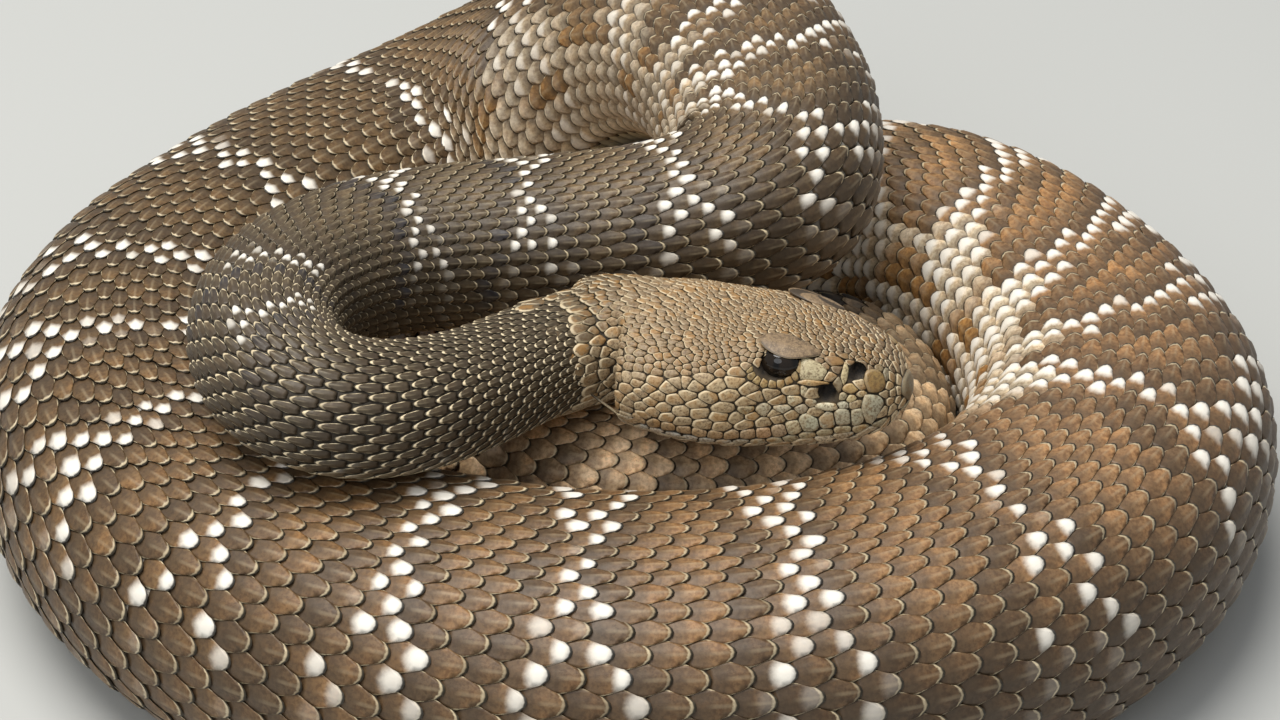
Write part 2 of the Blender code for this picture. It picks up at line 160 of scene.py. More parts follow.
def catmull_rom(points, pieces):
    """A smooth run through the points, with this many pieces between two of them."""
    points = np.array(points, float)
    ends = np.vstack([2 * points[0] - points[1], points, 2 * points[-1] - points[-2]])
    run = []
    for a, b, c, d in zip(ends, ends[1:], ends[2:], ends[3:]):
        for step in range(pieces):
            t = step / pieces
            run.append(
                0.5 * (2 * b + (c - a) * t + (2 * a - 5 * b + 4 * c - d) * t**2
                       + (3 * b - 3 * c + d - a) * t**3)
            )
    run.append(points[-1])
    return np.array(run)


def settled(rows, passes):
    """The rows eased towards their neighbours, with both ends held."""
    for _ in range(passes):
        eased = rows.copy()
        eased[1:-1] = (rows[:-2] + 2 * rows[1:-1] + rows[2:]) / 4
        rows = eased
    return rows


def hermite(t, span, start, leaving, end, arriving):
    """The way from start to end over a span, with a slope at either end, at t from 0 to 1."""
    return (
        (2 * t**3 - 3 * t**2 + 1) * start
        + (t**3 - 2 * t**2 + t) * span * leaving
        + (3 * t**2 - 2 * t**3) * end
        + (t**3 - t**2) * span * arriving
    )


def through(x, knots, values):
    """Smooth values at x through the values at the knots."""
    x = np.asarray(x, float)
    slopes = np.gradient(values, knots, axis=0)
    i = np.clip(np.searchsorted(knots, x, side="right") - 1, 0, len(knots) - 2)
    shape = x.shape + (1,) * (values.ndim - 1)
    span = (knots[i + 1] - knots[i]).reshape(shape)
    t = (x - knots[i]).reshape(shape) / span
    return hermite(t, span, values[i], slopes[i], values[i + 1], slopes[i + 1])


def unit(rows):
    return rows / np.maximum(np.linalg.norm(rows, axis=-1, keepdims=True), 1e-12)


def ramp(x, low, high):
    """0 below low and 1 above high, with a smooth rise between."""
    t = np.clip((np.asarray(x, float) - low) / (high - low), 0, 1)
    return t * t * (3 - 2 * t)


def rounded(angle, power):
    """Points of the unit section at angles from its top."""
    across, high = np.sin(angle), np.cos(angle)
    power = 2 / np.asarray(power, float)
    across = np.sign(across) * np.abs(across) ** power
    high = np.sign(high) * np.abs(high) ** power
    return across, np.maximum(high, -BELLY)


def evenly_round(sections):
    """Closed sections, each as MAP_ROUND points a like distance apart, and how long each is."""
    rings, lengths = [], []
    for points in sections:
        closed = np.vstack([points, points[:1]])
        steps = np.linalg.norm(np.diff(closed, axis=0), axis=1)
        along = np.concatenate([[0], np.cumsum(steps)])
        wanted = np.arange(MAP_ROUND) / MAP_ROUND * along[-1]
        rings.append(np.stack([np.interp(wanted, along, axis) for axis in closed.T], axis=1))
        lengths.append(along[-1])
    return np.array(rings), np.array(lengths)


class Body:
    """The stations of the body, placed so that the coil's box is centred on the origin."""

    def __init__(self):
        rows = settled(catmull_rom(LIE, SAMPLES), SETTLE_PASSES)
        line = rows[:, :3]
        line[:, 2] = np.maximum(line[:, 2], 0)
        self.tangent = unit(np.gradient(line, axis=0))
        self.side = unit(np.cross(self.tangent, (0, 0, 1)))
        self.up = np.cross(self.side, self.tangent)
        self.half_width, self.half_height = rows[:, 3], rows[:, 4]
        self.centre = line + self.up * (BELLY * self.half_height)[:, None]
        turns = 2 * np.pi * np.arange(SIDES) / SIDES
        outline = np.concatenate([self.ring(i, turns) for i in range(0, len(rows), STRIDE)])
        middle = (outline.min(axis=0) + outline.max(axis=0)) / 2
        self.middle = np.array([middle[0], middle[1], 0])
        self.centre = self.centre - self.middle

    def ring(self, i, angles):
        across, high = rounded(angles, ROUNDNESS)
        return (
            self.centre[i]
            + (across * self.half_width[i])[:, None] * self.side[i]
            + (high * self.half_height[i])[:, None] * self.up[i]
        )


class Head:
    """The head's own space: station forwards from the neck, then left, then up."""

    def __init__(self, body):
        turn, pitch, roll = HEAD_TURN, HEAD_PITCH, HEAD_ROLL
        self.start = body.centre[0]
        level_ahead = np.array([math.cos(turn), math.sin(turn), 0.0])
        self.ahead = level_ahead * math.cos(pitch) + np.array([0.0, 0.0, math.sin(pitch)])
        level = np.array([-math.sin(turn), math.cos(turn), 0.0])
        upright = np.cross(self.ahead, level)
        self.left = level * math.cos(roll) - upright * math.sin(roll)
        self.up = upright * math.cos(roll) + level * math.sin(roll)
        self.neck_ahead, self.neck_up = -body.tangent[0], body.up[0]
        self.knots = np.array([row[0] for row in HEAD])
        self.table = np.array([row[1:] for row in HEAD])

    def shape(self, station):
        """Half width, crown, widest height, mouth, chin and the two roundnesses at a station."""
        return [through(station, self.knots, column) for column in self.table.T]

    def frame(self, station):
        """Where the head's axis is at a station, with its left and up: it bends into the neck."""
        if station >= HEAD_BEND:
            return self.start + self.ahead * station, self.left, self.up
        joined = self.start + self.ahead * HEAD_BEND
        place = hermite(station / HEAD_BEND, HEAD_BEND, self.start, self.neck_ahead, joined,
                        self.ahead)
        blend = ramp(station, 0, HEAD_BEND)
        ahead = unit((1 - blend) * self.neck_ahead + blend * self.ahead)
        up = (1 - blend) * self.neck_up + blend * self.up
        up = unit(up - ahead * np.dot(up, ahead))
        return place, np.cross(up, ahead), up

    def ring(self, station, angles, shrink=1.0):
        """The section at a station, drawn in towards its middle by shrink."""
        width, crown, widest, _, chin, upper, lower = self.shape(station)
        power = np.where(np.cos(angles) >= 0, upper, lower)
        across, high = rounded(angles, power)
        reach = np.where(high >= 0, crown - widest, (widest - chin) / BELLY)
        place, sideways, upwards = self.frame(min(station, HEAD_LENGTH))
        left = across * width * shrink
        up = widest + high * reach
        up = up * shrink + (1 - shrink) * (crown + chin) / 2
        return place + left[:, None] * sideways + up[:, None] * upwards

    def half_width(self, station, height):
        """How far out the head's side is at a station and a height."""
        width, crown, widest, _, chin, upper, lower = [float(v) for v in self.shape(station)]
        if height >= widest:
            share, power = (height - widest) / (crown - widest), upper
        else:
            share, power = (widest - height) * BELLY / (widest - chin), lower
        return width * max(0.0, 1 - share**power) ** (1 / power)

    def place(self, station, left, up):
        at, sideways, upwards = self.frame(station)
        return at + sideways * left + upwards * up

    def matrix(self, station, left, up):
        """A frame on the head, with x forwards, y left and z up."""
        _, sideways, upwards = self.frame(station)
        ahead = np.cross(sideways, upwards)
        rows = Matrix([ahead, sideways, upwards]).transposed().to_4x4()
        return Matrix.Translation(Vector(self.place(station, left, up))) @ rows

    def local(self, points):
        """Station, left and up of points on the straight of the head."""
        away = points - self.start
        return np.stack([away @ self.ahead, away @ self.left, away @ self.up], axis=-1)


class Hide:
    """The animal's surface as a map: s along it from the neck, less than 0 on the head, and q
    round it from the middle of the back, over its left side and belly, from 0 to 1."""

    # How the snout's end closes: how far each section shrinks, and how far past the end it is
    CAP = ((0.86, 0.22), (0.64, 0.42), (0.34, 0.54), (0.02, 0.6))

    def __init__(self, body, head):
        angles = 2 * np.pi * np.arange(SECTION_POINTS) / SECTION_POINTS
        rings, lengths = evenly_round([body.ring(i, angles) for i in range(len(body.centre))])
        steps = np.linalg.norm(np.diff(body.centre, axis=0), axis=1)
        s_body = np.concatenate([[0], np.cumsum(steps)])
        fine = np.arange(0, s_body[-1], MAP_STEP)
        rings_body = through(fine, s_body, rings)
        lengths_body = np.interp(fine, s_body, lengths)

        turns = np.linspace(0, np.pi / 2, SNOUT_STEPS)[1:]
        straight = np.arange(HEAD_STEP, SNOUT_START, HEAD_STEP)
        snout = SNOUT_START + (HEAD_LENGTH - SNOUT_START) * np.sin(turns)
        stations = np.concatenate([straight, snout])
        shrinks, past = np.array(self.CAP).T
        sections = [head.ring(station, angles) for station in stations]
        sections += [head.ring(HEAD_LENGTH, angles, shrink) for shrink in shrinks]
        rings, lengths = evenly_round(sections)
        rings[len(stations):] += past[:, None, None] * head.ahead
        whole = np.concatenate([rings_body[:1], rings])
        steps = np.linalg.norm(np.diff(whole, axis=0), axis=2).mean(axis=1)
        self.s = np.concatenate([-np.cumsum(steps)[::-1], fine])
        self.points = np.concatenate([rings[::-1], rings_body])
        self.round = np.concatenate([lengths[::-1], lengths_body])
        self.station = np.concatenate([(HEAD_LENGTH + past)[::-1], stations[::-1], -fine])
        self.start, self.end = self.s[0], self.s[-1]
        middle = self.points.mean(axis=1, keepdims=True)
        self.widest = np.linalg.norm(self.points - middle, axis=2).max(axis=1)
        self.along = np.gradient(self.points, self.s, axis=0)
        across = np.roll(self.points, -1, axis=1) - np.roll(self.points, 1, axis=1)
        self.across = across * MAP_ROUND / 2
        self.normal = unit(np.cross(self.along, across))
        if (self.normal * (self.points - middle)).sum() < 0:
            self.normal = -self.normal

    def look(self, grid, s, q):
        """Values of one of the maps at s and q."""
        row = np.interp(s, self.s, np.arange(len(self.s)))
        i = np.clip(row.astype(int), 0, len(self.s) - 2)
        a = (row - i)[..., None]
        column = (q % 1.0) * MAP_ROUND
        j = column.astype(int) % MAP_ROUND
        b = (column - np.floor(column))[..., None]
        k = (j + 1) % MAP_ROUND
        return (
            (1 - a) * ((1 - b) * grid[i, j] + b * grid[i, k])
            + a * ((1 - b) * grid[i + 1, j] + b * grid[i + 1, k])
        )

    def at(self, s, q, h):
        """Points at s and q, raised by h over the surface."""
        normal = unit(self.look(self.normal, s, q))
        return self.look(self.points, s, q) + normal * np.asarray(h)[..., None]

    def girth(self, s):
        return np.interp(s, self.s, self.round)


body = Body()
head = Head(body)
hide = Hide(body, head)

# How far round the body the dorsal scales reach, and how many rows of them lie along it
DORSAL = 0.735
ROWS = ((-60, 30), (60, 30), (150, 29), (260, 29), (600, 29), (700, 27), (800, 24), (870, 18),
        (943, 11))
# How narrow a row is on the middle of the back, beside the rows' mean width
BACK_ROW = ((-60, 1.0), (40, 1.0), (170, 0.6), (943, 0.6))
# The length of one scale's step along the body
PITCH = ((-20, 2.4), (0, 2.5), (50, 2.7), (140, 3.5), (260, 4.3), (380, 4.7), (600, 4.7),
         (700, 4.2), (800, 3.7), (870, 3.3), (943, 2.4))
# How deep the skin lies under the solids' surface, and how thick a scale is at its tip
SKIN_DEPTH = ((-60, 0.36), (-8, 0.38), (60, 0.46), (200, 0.58), (800, 0.58), (943, 0.42))
SCALE_RISE = ((-20, 0.26), (60, 0.34), (200, 0.46), (800, 0.46), (943, 0.3))
# The middle of the back leans to one side here: degrees towards the left
ROLL = ((-57, 0), (50, 0), (80, 12), (140, 12), (200, 0), (386, 0), (410, 11), (540, 12), (580, 4),
        (650, 0), (943, 0))

# White lines that cross the back, by their place along it
CROSSINGS = (
    38, 57.5, 71, 101.5, 123, 146, 164, 182, 197, 216, 250, 285, 323, 356, 379, 402, 426.5, 450.5,
    474.5, 503, 534, 567.5, 590, 613, 637, 660, 685, 710, 734, 758, 782, 805, 827, 848, 866,
)
# A line parts in two away from the back's middle: how fast, from where, and how far apart
LINE_SLOPE = 0.4
LINE_WAIST = 4.5
LINE_SPREAD = 6.0
TAIL_START = 872
TAIL_RING = 11.5
# Spans along the body, as the four edges of a window: where the lines lean, where one side gets
# painted shade, where the inner side is pale, and where the neck has a blue-black border
LEAN_FRONT = (572, 584, 625, 665)
LEAN_BACK = (168, 176, 284, 292)
SHADED_FRONT = (440, 500, 600, 640)
SHADED_NECK = (60, 90, 165, 215)
PALE_FRONT = (545, 562, 668, 700)
PALE_BACK = (150, 172, 258, 285)
BLUE_NECK = (45, 60, 130, 150)
# Between these the white fades out on the coil that lies under the others
WHITE_FADES = (728, 742)


def table(rows, x):
    """Values at x from rows of a place and a value."""
    places, values = zip(*rows)
    values = np.array(values, float)
    if values.ndim == 1:
        return np.interp(x, places, values)
    return np.stack([np.interp(x, places, column) for column in values.T], axis=-1)


def linear(red, green, blue):
    """A colour read from 0 to 255, as the shader's own numbers."""
    return tuple((c / 255 / 12.92) if c < 11 else ((c / 255 + 0.055) / 1.055) ** 2.4
                 for c in (red, green, blue))


# The coat's colour by its place along the body, with painted light on the coil under the others
GROUND = tuple((place, linear(*seen)) for place, seen in (
    (-57, (146, 124, 92)),
    (-8, (128, 112, 86)),
    (6, (76, 66, 49)),
    (60, (84, 73, 55)),
    (110, (104, 89, 65)),
    (200, (130, 104, 71)),
    (300, (104, 83, 55)),
    (360, (107, 85, 56)),
    (440, (132, 101, 65)),
    (560, (155, 120, 83)),
    (620, (168, 130, 88)),
    (700, (176, 142, 98)),
    # from here the coil that lies under the others is painted lighter: painted light against the
    # shade it lies in
    (750, (240, 204, 158)),
    (830, (240, 206, 162)),
    (866, (196, 168, 130)),
    (943, (140, 126, 104)),
))
# The colours of the markings and the plates, and of the painted shade and shadow between the scales
WHITE = linear(238, 232, 220)
CREAM = linear(222, 204, 168)
# dark markings, and the painted shade at the roots of the scales
DARK_MARK_AND_SHADE = linear(68, 56, 42)
BLUE_BLACK = linear(52, 52, 58)
OCHRE = linear(168, 118, 62)
BELLY_CREAM = linear(214, 200, 164)
# painted shadow in the gaps between the scales and plates and under their edges
GAP_SHADOW = linear(30, 26, 21)
PALE_SIDE = linear(226, 210, 180)
PALE_SPOT = linear(166, 124, 70)
PALE_RING = linear(196, 190, 178)
DARK_RING = linear(34, 32, 30)


def roll(s):
    """How far round the back's middle is turned to the left, as a part of a whole turn."""
    return table(ROLL, s) / 360


def window(x, *edges):
    """1 between the two middle edges, falling to 0 at the outer ones."""
    return ramp(x, edges[0], edges[1]) * (1 - ramp(x, edges[2], edges[3]))


def markings(s, across):
    """What the coat shows at s, and across from the back's middle: shares from 0 to 1."""
    s, across = np.broadcast_arrays(np.asarray(s, float), np.asarray(across, float))
    lines = np.array(CROSSINGS, float)
    # where this is among the white lines, some of which lean
    lean = across * (0.6 * window(s, *LEAN_FRONT) + 0.4 * window(s, *LEAN_BACK))
    at = s - lean
    after = np.clip(np.searchsorted(lines, at), 1, len(lines) - 1)
    before = after - 1
    phase = (at - lines[before]) / (lines[after] - lines[before])
    nearest = np.abs(at[..., None] - lines).argmin(axis=-1)
    offset = at - lines[nearest]
    size = hide.girth(s) / 150.0
    away = np.abs(across) / size
    # the lines, parted in two, and the dark on both sides of them
    apart = LINE_SLOPE * np.maximum(0, np.abs(across) - LINE_WAIST * size)
    branch = np.abs(offset) - LINE_SPREAD * np.tanh(apart / LINE_SPREAD)
    half = (2.1 + 0.5 * ramp(s, 500, 560)) * np.sqrt(size)
    back = 1 - ramp(away, 34, 44)
    white = (1 - ramp(np.abs(branch), half * 0.7, half * 1.2)) * (1 - 0.8 * ramp(away, 17, 32))
    white = white * ramp(s, 44, 56) * (1 - (1 - ramp(s, 75, 110)) * ramp(away, 12, 18))
    near = window(branch, half * 0.9, half * 1.3, half * 2.0, half * 4.2) * back
    outer = window(-branch, half * 0.9, half * 1.3, half * 2.0, half * 3.4)
    dark = np.maximum(near, 0.55 * outer * back)
    # the flanks, and painted shade on the front loop's outer side and the neck's left side
    flank = ramp(away, 36, 48)
    wave = 0.5 + 0.5 * np.cos(2 * np.pi * phase)
    dark = np.maximum(dark, flank * (0.2 + 0.4 * wave))
    # painted shade on the front loop's outer side, which also joins the dark markings there
    shaded_outer_side = ramp(across / size, 8, 27) * window(s, *SHADED_FRONT)
    dark = np.maximum(dark, shaded_outer_side)
    # painted shade on both shaded sides, which darkens the ground colour
    painted_shade = np.maximum(shaded_outer_side, ramp(across / size, 3, 15) * window(s, *SHADED_NECK))
    white = np.maximum(white, 0.3 * flank * window(wave, 0.25, 0.4, 0.6, 0.8))
    ochre = back * ramp(branch, half * 2.6, half * 5.0) * ramp(s, 560, 600)
    tail = ramp(s, TAIL_START - 1, TAIL_START + 1)
    ring = 0.5 + 0.5 * np.sin(2 * np.pi * (s - TAIL_START) / TAIL_RING)
    hidden = 1 - 0.86 * ramp(s, *WHITE_FADES)
    # the pale inner side of two loops, scalloped along its edge and spotted
    right = -across / size
    between = 0.5 - 0.5 * np.cos(2 * np.pi * phase)
    edge = right - 12.5 - 9 * between
    pale = np.maximum(window(s, *PALE_FRONT) * ramp(edge, -1.5, 1.5),
                      0.5 * window(s, *PALE_BACK) * ramp(edge, 3, 7))
    spots = np.maximum(1 - np.hypot((phase - 0.5) / 0.3, (right - 29) / 4.5),
                       1 - np.hypot((np.abs(phase - 0.5) - 0.5) / 0.26, (right - 38) / 5.0))
    spots = ramp(spots, 0.0, 0.4)
    white = np.maximum(white * hidden, pale * (1 - spots) * (1 - 0.45 * between))
    blue = window(s, *BLUE_NECK) * window(branch, half, half * 1.3, half * 1.8, half * 3)
    return {
        "white": white * (1 - tail),
        "dark": dark * (1 - tail) * (1 - pale),
        "painted_shade": painted_shade * (1 - tail),
        "ochre": ochre * (1 - tail) * (1 - pale),
        "spots": spots * pale,
        "pale": pale * (1 - spots),
        "tail": tail,
        "ring": ramp(ring, 0.35, 0.65),
        "blue": blue * (offset < 0) * back,
    }


def coloured(base, colour, share):
    """The base colours, taken towards one colour by each one's share."""
    share = np.asarray(share)[..., None]
    return base * (1 - share) + np.array(colour) * share


def ground_colour(s, marks):
    """The coat's colour at s under its white lines."""
    ground = table(GROUND, s)
    ground = coloured(ground, DARK_MARK_AND_SHADE, 0.62 * marks["dark"])
    ground = coloured(ground, OCHRE, 0.4 * marks["ochre"])
    # painted shade on the sides that lie in shadow
    ground = ground * (1 - 0.42 * marks["painted_shade"])[..., None]
    ground = coloured(ground, PALE_SIDE, 0.9 * marks["pale"])
    ground = coloured(ground, PALE_SPOT, 0.8 * marks["spots"])
    ground = coloured(ground, BLUE_BLACK, 0.8 * marks["blue"])
    ring = coloured(np.array(PALE_RING), DARK_RING, marks["ring"])
    return coloured(ground, ring, marks["tail"])


def mesh_from(name, points, corners, starts):
    """A mesh of the points in millimetres, whose faces are runs of the list of corners."""
    mesh = bpy.data.meshes.new(name)
    mesh.vertices.add(len(points))
    mesh.loops.add(len(corners))
    mesh.polygons.add(len(starts))
    mesh.vertices.foreach_set("co", (points * METRES).astype(np.float32).ravel())
    mesh.loops.foreach_set("vertex_index", corners.astype(np.int32))
    mesh.polygons.foreach_set("loop_start", starts.astype(np.int32))
    mesh.update(calc_edges=True)
    return mesh


def mesh_of(name, form, scale=1.0):
    """A mesh of the form, which is then let go. A form that is scaled also has its faces turned
    outwards."""
    if scale != 1.0:
        bmesh.ops.recalc_face_normals(form, faces=form.faces)
        bmesh.ops.scale(form, vec=(scale,) * 3, verts=form.verts)
    mesh = bpy.data.meshes.new(name)
    form.to_mesh(mesh)
    form.free()
    return mesh


def places_of(mesh):
    flat = np.empty(len(mesh.vertices) * 3)
    mesh.vertices.foreach_get("co", flat)
    return flat.reshape(-1, 3)


def corners_of(mesh):
    corner = np.empty(len(mesh.loops), np.int32)
    mesh.loops.foreach_get("vertex_index", corner)
    return corner


def paint(mesh, name, values):
    """A colour attribute, with one value or three for each point."""
    layer = mesh.color_attributes.new(name, "FLOAT_COLOR", "POINT")
    full = np.ones((len(mesh.vertices), 4), np.float32)
    full[:, :3] = values.reshape(len(full), -1)
    layer.data.foreach_set("color", full.ravel())


def bake_map(mesh, uv):
    """The map that the colours are baked on, from one u and v a corner."""
    layer = mesh.uv_layers.new(name="OFBake")
    layer.data.foreach_set("uv", uv.astype(np.float32).ravel())


# Where the scales' patches lie on the bake map, and how large each one is
MAP_MARGIN = 0.005
MAP_SHARE = 0.985
PATCH_LONG = 0.003
PATCH_WIDE = 0.0015


def patches(mesh, s, q, span, u, v):
    """The bake map of a coat: a small patch for each scale, placed as its root is on the body."""
    root_u = MAP_MARGIN + MAP_SHARE * (s - span[0]) / (span[1] - span[0])
    root_v = MAP_MARGIN + MAP_SHARE * (q % 1.0)
    uv = np.stack([root_u[:, None] + PATCH_LONG * u, root_v[:, None] + PATCH_WIDE * (1 + v)],
                  axis=-1)
    bake_map(mesh, uv.reshape(-1, 2)[corners_of(mesh)])


def placed(name, data):
    made = bpy.data.objects.new(name, data)
    bpy.context.scene.collection.objects.link(made)
    return made


def piece(name, mesh, material):
    made = placed(name, mesh)
    mesh.materials.append(material)
    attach(made, "root")
    return made


class Shape:
    """A small form of a few faces, and how its copies are laid out in one mesh."""

    def keep(self, form):
        form.verts.index_update()
        self.corners = np.array([v.index for f in form.faces for v in f.verts])
        self.sizes = np.array([len(f.verts) for f in form.faces])
        self.step = len(form.verts)
        return np.array([vertex.co for vertex in form.verts])

    def repeated(self, count):
        """The corners and starts of the faces of so many copies."""
        corners = (self.corners[None] + self.step * np.arange(count)[:, None]).ravel()
        sizes = np.tile(self.sizes, count)
        return corners, np.concatenate([[0], np.cumsum(sizes)[:-1]])


class Template(Shape):
    """One scale as bmesh makes it: a crowned top, a wall and a smaller bottom."""

    def __init__(self, along, across):
        form = bmesh.new()
        bmesh.ops.create_grid(form, x_segments=along, y_segments=across, size=1)
        rim = [edge for edge in form.edges if edge.is_boundary]
        wall = bmesh.ops.extrude_edge_only(form, edges=rim)["geom"]
        low = [item for item in wall if isinstance(item, bmesh.types.BMVert)]
        for vertex in low:
            vertex.co.z = -1
        edges = [edge for edge in form.edges if edge.is_boundary]
        bmesh.ops.edgeloop_fill(form, edges=edges)
        bmesh.ops.recalc_face_normals(form, faces=form.faces)
        # s, q and outwards are a left-handed frame, so the faces turn over here
        bmesh.ops.reverse_faces(form, faces=form.faces)
        places = self.keep(form)
        self.u = (places[:, 0] + 1) / 2
        self.v = places[:, 1]
        self.low = places[:, 2] < -0.5
        form.free()


def stretch(s, q):
    """How much longer the surface is than the middle line at s and q."""
    return np.linalg.norm(hide.look(hide.along, s, q), axis=-1)


# A scale's outline: how wide it is from its root to its tip, and how round its tip is
OUTLINE = ((0.0, 0.62), (0.2, 0.86), (0.4, 0.99), (0.58, 1.0), (0.8, 0.9), (1.0, 0.72))
TIP_ROUND = 0.56
# How much longer and wider a scale is than its step and its row
OVERLAP = 1.32
WIDENED = 1.48
# How close together the places are at which the scales' steps are counted
FINE_STEP = 0.25


def spread(template, lie):
    """The s, q and height of every vertex of every scale. The lie is each scale's s, q, length,
    width, rise, depth, keel and twist."""
    s, q, length, width, rise, depth, keel, twist = (values[:, None] for values in lie)
    u, v, low = template.u[None], template.v[None], template.low[None]
    pull = np.where(low, 0.84, 1.0)
    forward = u * (1 - TIP_ROUND * (1 - np.sqrt(1 - 0.97 * v**2)))
    forward = 0.5 + (forward - 0.5) * pull
    sideways = v * table(OUTLINE, u) * pull
    at_s = s + forward * length
    at_q = q + (sideways * width / 2 + twist * (forward - 0.2)) / hide.girth(s)
    top = -depth - 0.1 + rise * (0.3 + 0.95 * forward**1.3)
    top = top + 0.32 * rise * (1 - v**2) * np.sin(np.pi * np.clip(u, 0, 1)) ** 0.7
    ridge = np.maximum(0, 1 - np.abs(v) / 0.22) * ramp(u, 0.05, 0.3) * (1 - ramp(u, 0.8, 1.0))
    top = top + keel * rise * ridge
    return at_s, at_q, np.where(low, -depth - 0.12, top)


def coat(name, template, lie, white, ground, span, material):
    """One piece of coat: all its scales, with their colours and their places on the bake map."""
    at_s, at_q, height = spread(template, lie)
    count = len(at_s)
    points = hide.at(at_s.ravel(), at_q.ravel(), height.ravel())
    mesh = mesh_from(name, points, *template.repeated(count))
    u, v, low = (np.broadcast_to(row, at_s.shape) for row in (template.u, template.v, template.low))
    luck = np.broadcast_to(dice.random(count)[:, None], at_s.shape)
    # the bottom of each scale is painted near black, as painted shadow under its tip
    paint(mesh, "ground", np.where(low[..., None], np.array(GAP_SHADOW), ground[:, None]))
    paint(mesh, "place", np.stack([u, np.abs(v), np.where(low, 0, white[:, None])], axis=-1))
    paint(mesh, "luck", luck[..., None])
    patches(mesh, lie[0], lie[1], span, u, v)
    mesh.shade_smooth()
    return piece(name, mesh, material)


def steps_along(first, last):
    """Close places along the body, and how many steps of a scale lie before each."""
    fine = np.arange(first, last, FINE_STEP)
    return fine, np.cumsum(FINE_STEP / table(PITCH, fine))


def scale_places(first, last):
    """The roots of the dorsal scales between two places along the body, row by row: each with how
    far round from the back's middle it is, and how wide its row is."""
    fine, count = steps_along(-20, 960)
    low, high = np.interp((first - 5, last + 5), fine, count)
    steps = np.arange(math.ceil(low), math.floor(high))
    places = []
    for row in range(-15, 16):
        s = np.interp(steps + 0.5 * (abs(row) % 2), count, fine)
        share = 2 * abs(row) / table(ROWS, s)
        narrow = table(BACK_ROW, s)
        across = DORSAL / 2 * (narrow * share + (1 - narrow) * share**2)
        wide = DORSAL / table(ROWS, s) * (narrow + 2 * (1 - narrow) * share)
        inside = (s >= first) & (s < last) & (share < 1)
        places.append(np.stack([s, np.sign(row) * across, wide], axis=1)[inside])
    return np.concatenate(places)


class Socket:
    """A number in a shader, on which Python's arithmetic adds Math nodes."""

    def __init__(self, finish, socket):
        self.finish = finish
        self.socket = socket

    def join(self, operation, first, second=0.0):
        made = self.finish.node(
            "ShaderNodeMath", {"operation": operation}, {0: first, 1: second})
        return Socket(self.finish, made.outputs[0])

    def __add__(self, other):
        return self.join("ADD", self, other)

    def __sub__(self, other):
        return self.join("SUBTRACT", self, other)

    def __rsub__(self, other):
        return self.join("SUBTRACT", other, self)

    def __mul__(self, other):
        return self.join("MULTIPLY", self, other)

    def __pow__(self, other):
        return self.join("POWER", self, other)

    __radd__ = __add__
    __rmul__ = __mul__

    def least(self, other):
        return self.join("MINIMUM", self, other)

    def rise(self, low, high):
        """0 below low and 1 above high, with a smooth rise between."""
        made = self.finish.node(
            "ShaderNodeMapRange", {"interpolation_type": "SMOOTHSTEP"},
            {"Value": self, "From Min": low, "From Max": high})
        return Socket(self.finish, made.outputs[0])


class Finish:
    """A material, with its nodes made one at a time."""

    def __init__(self, name, **uniform):
        self.material = bpy.data.materials.new(name)
        self.material.use_nodes = True
        self.nodes = self.material.node_tree.nodes
        self.links = self.material.node_tree.links
        self.shader = self.nodes["Principled BSDF"]
        for key, value in uniform.items():
            self.shader.inputs[key.replace("_", " ")].default_value = value

    def node(self, kind, settings=None, inputs=None):
        made = self.nodes.new(kind)
        for key, value in (settings or {}).items():
            setattr(made, key, value)
        for key, value in (inputs or {}).items():
            self.feed(made.inputs[key], value)
        return made

    def feed(self, socket, value):
        if isinstance(value, Socket):
            self.links.new(value.socket, socket)
        elif isinstance(value, tuple) and len(value) == 3 and socket.type == "RGBA":
            socket.default_value = (*value, 1)
        else:
            socket.default_value = value

    def mix(self, share, first, second, blend="MIX"):
        made = self.node("ShaderNodeMix", {"data_type": "RGBA", "blend_type": blend},
                         {0: share, 6: first, 7: second})
        return Socket(self, made.outputs[2])

    def colour(self, name):
        made = self.node("ShaderNodeAttribute", {"attribute_name": name})
        return Socket(self, made.outputs["Color"])

    def parts(self, colour):
        made = self.node("ShaderNodeSeparateColor", None, {0: colour})
        return [Socket(self, made.outputs[k]) for k in range(3)]

    def noise(self, scale, detail=3.0, roughness=0.55, spread=None):
        """Noise on the object's own metres, with features about 1 / scale across."""
        place = Socket(self, self.node("ShaderNodeTexCoord").outputs["Object"])
        if spread:
            made = self.node("ShaderNodeMapping", None, {"Vector": place, "Scale": spread})
            place = Socket(self, made.outputs[0])
        made = self.node("ShaderNodeTexNoise", None,
                         {"Vector": place, "Scale": scale, "Detail": detail,
                          "Roughness": roughness})
        return Socket(self, made.outputs[0])

    def done(self, base, rough, height=None, strength=0.3, distance=0.0002):
        self.feed(self.shader.inputs["Base Color"], base)
        self.feed(self.shader.inputs["Roughness"], rough)
        if height is not None:
            bump = self.node("ShaderNodeBump", None,
                             {"Strength": strength, "Distance": distance, "Height": height})
            self.feed(self.shader.inputs["Normal"], Socket(self, bump.outputs[0]))
        return self.material


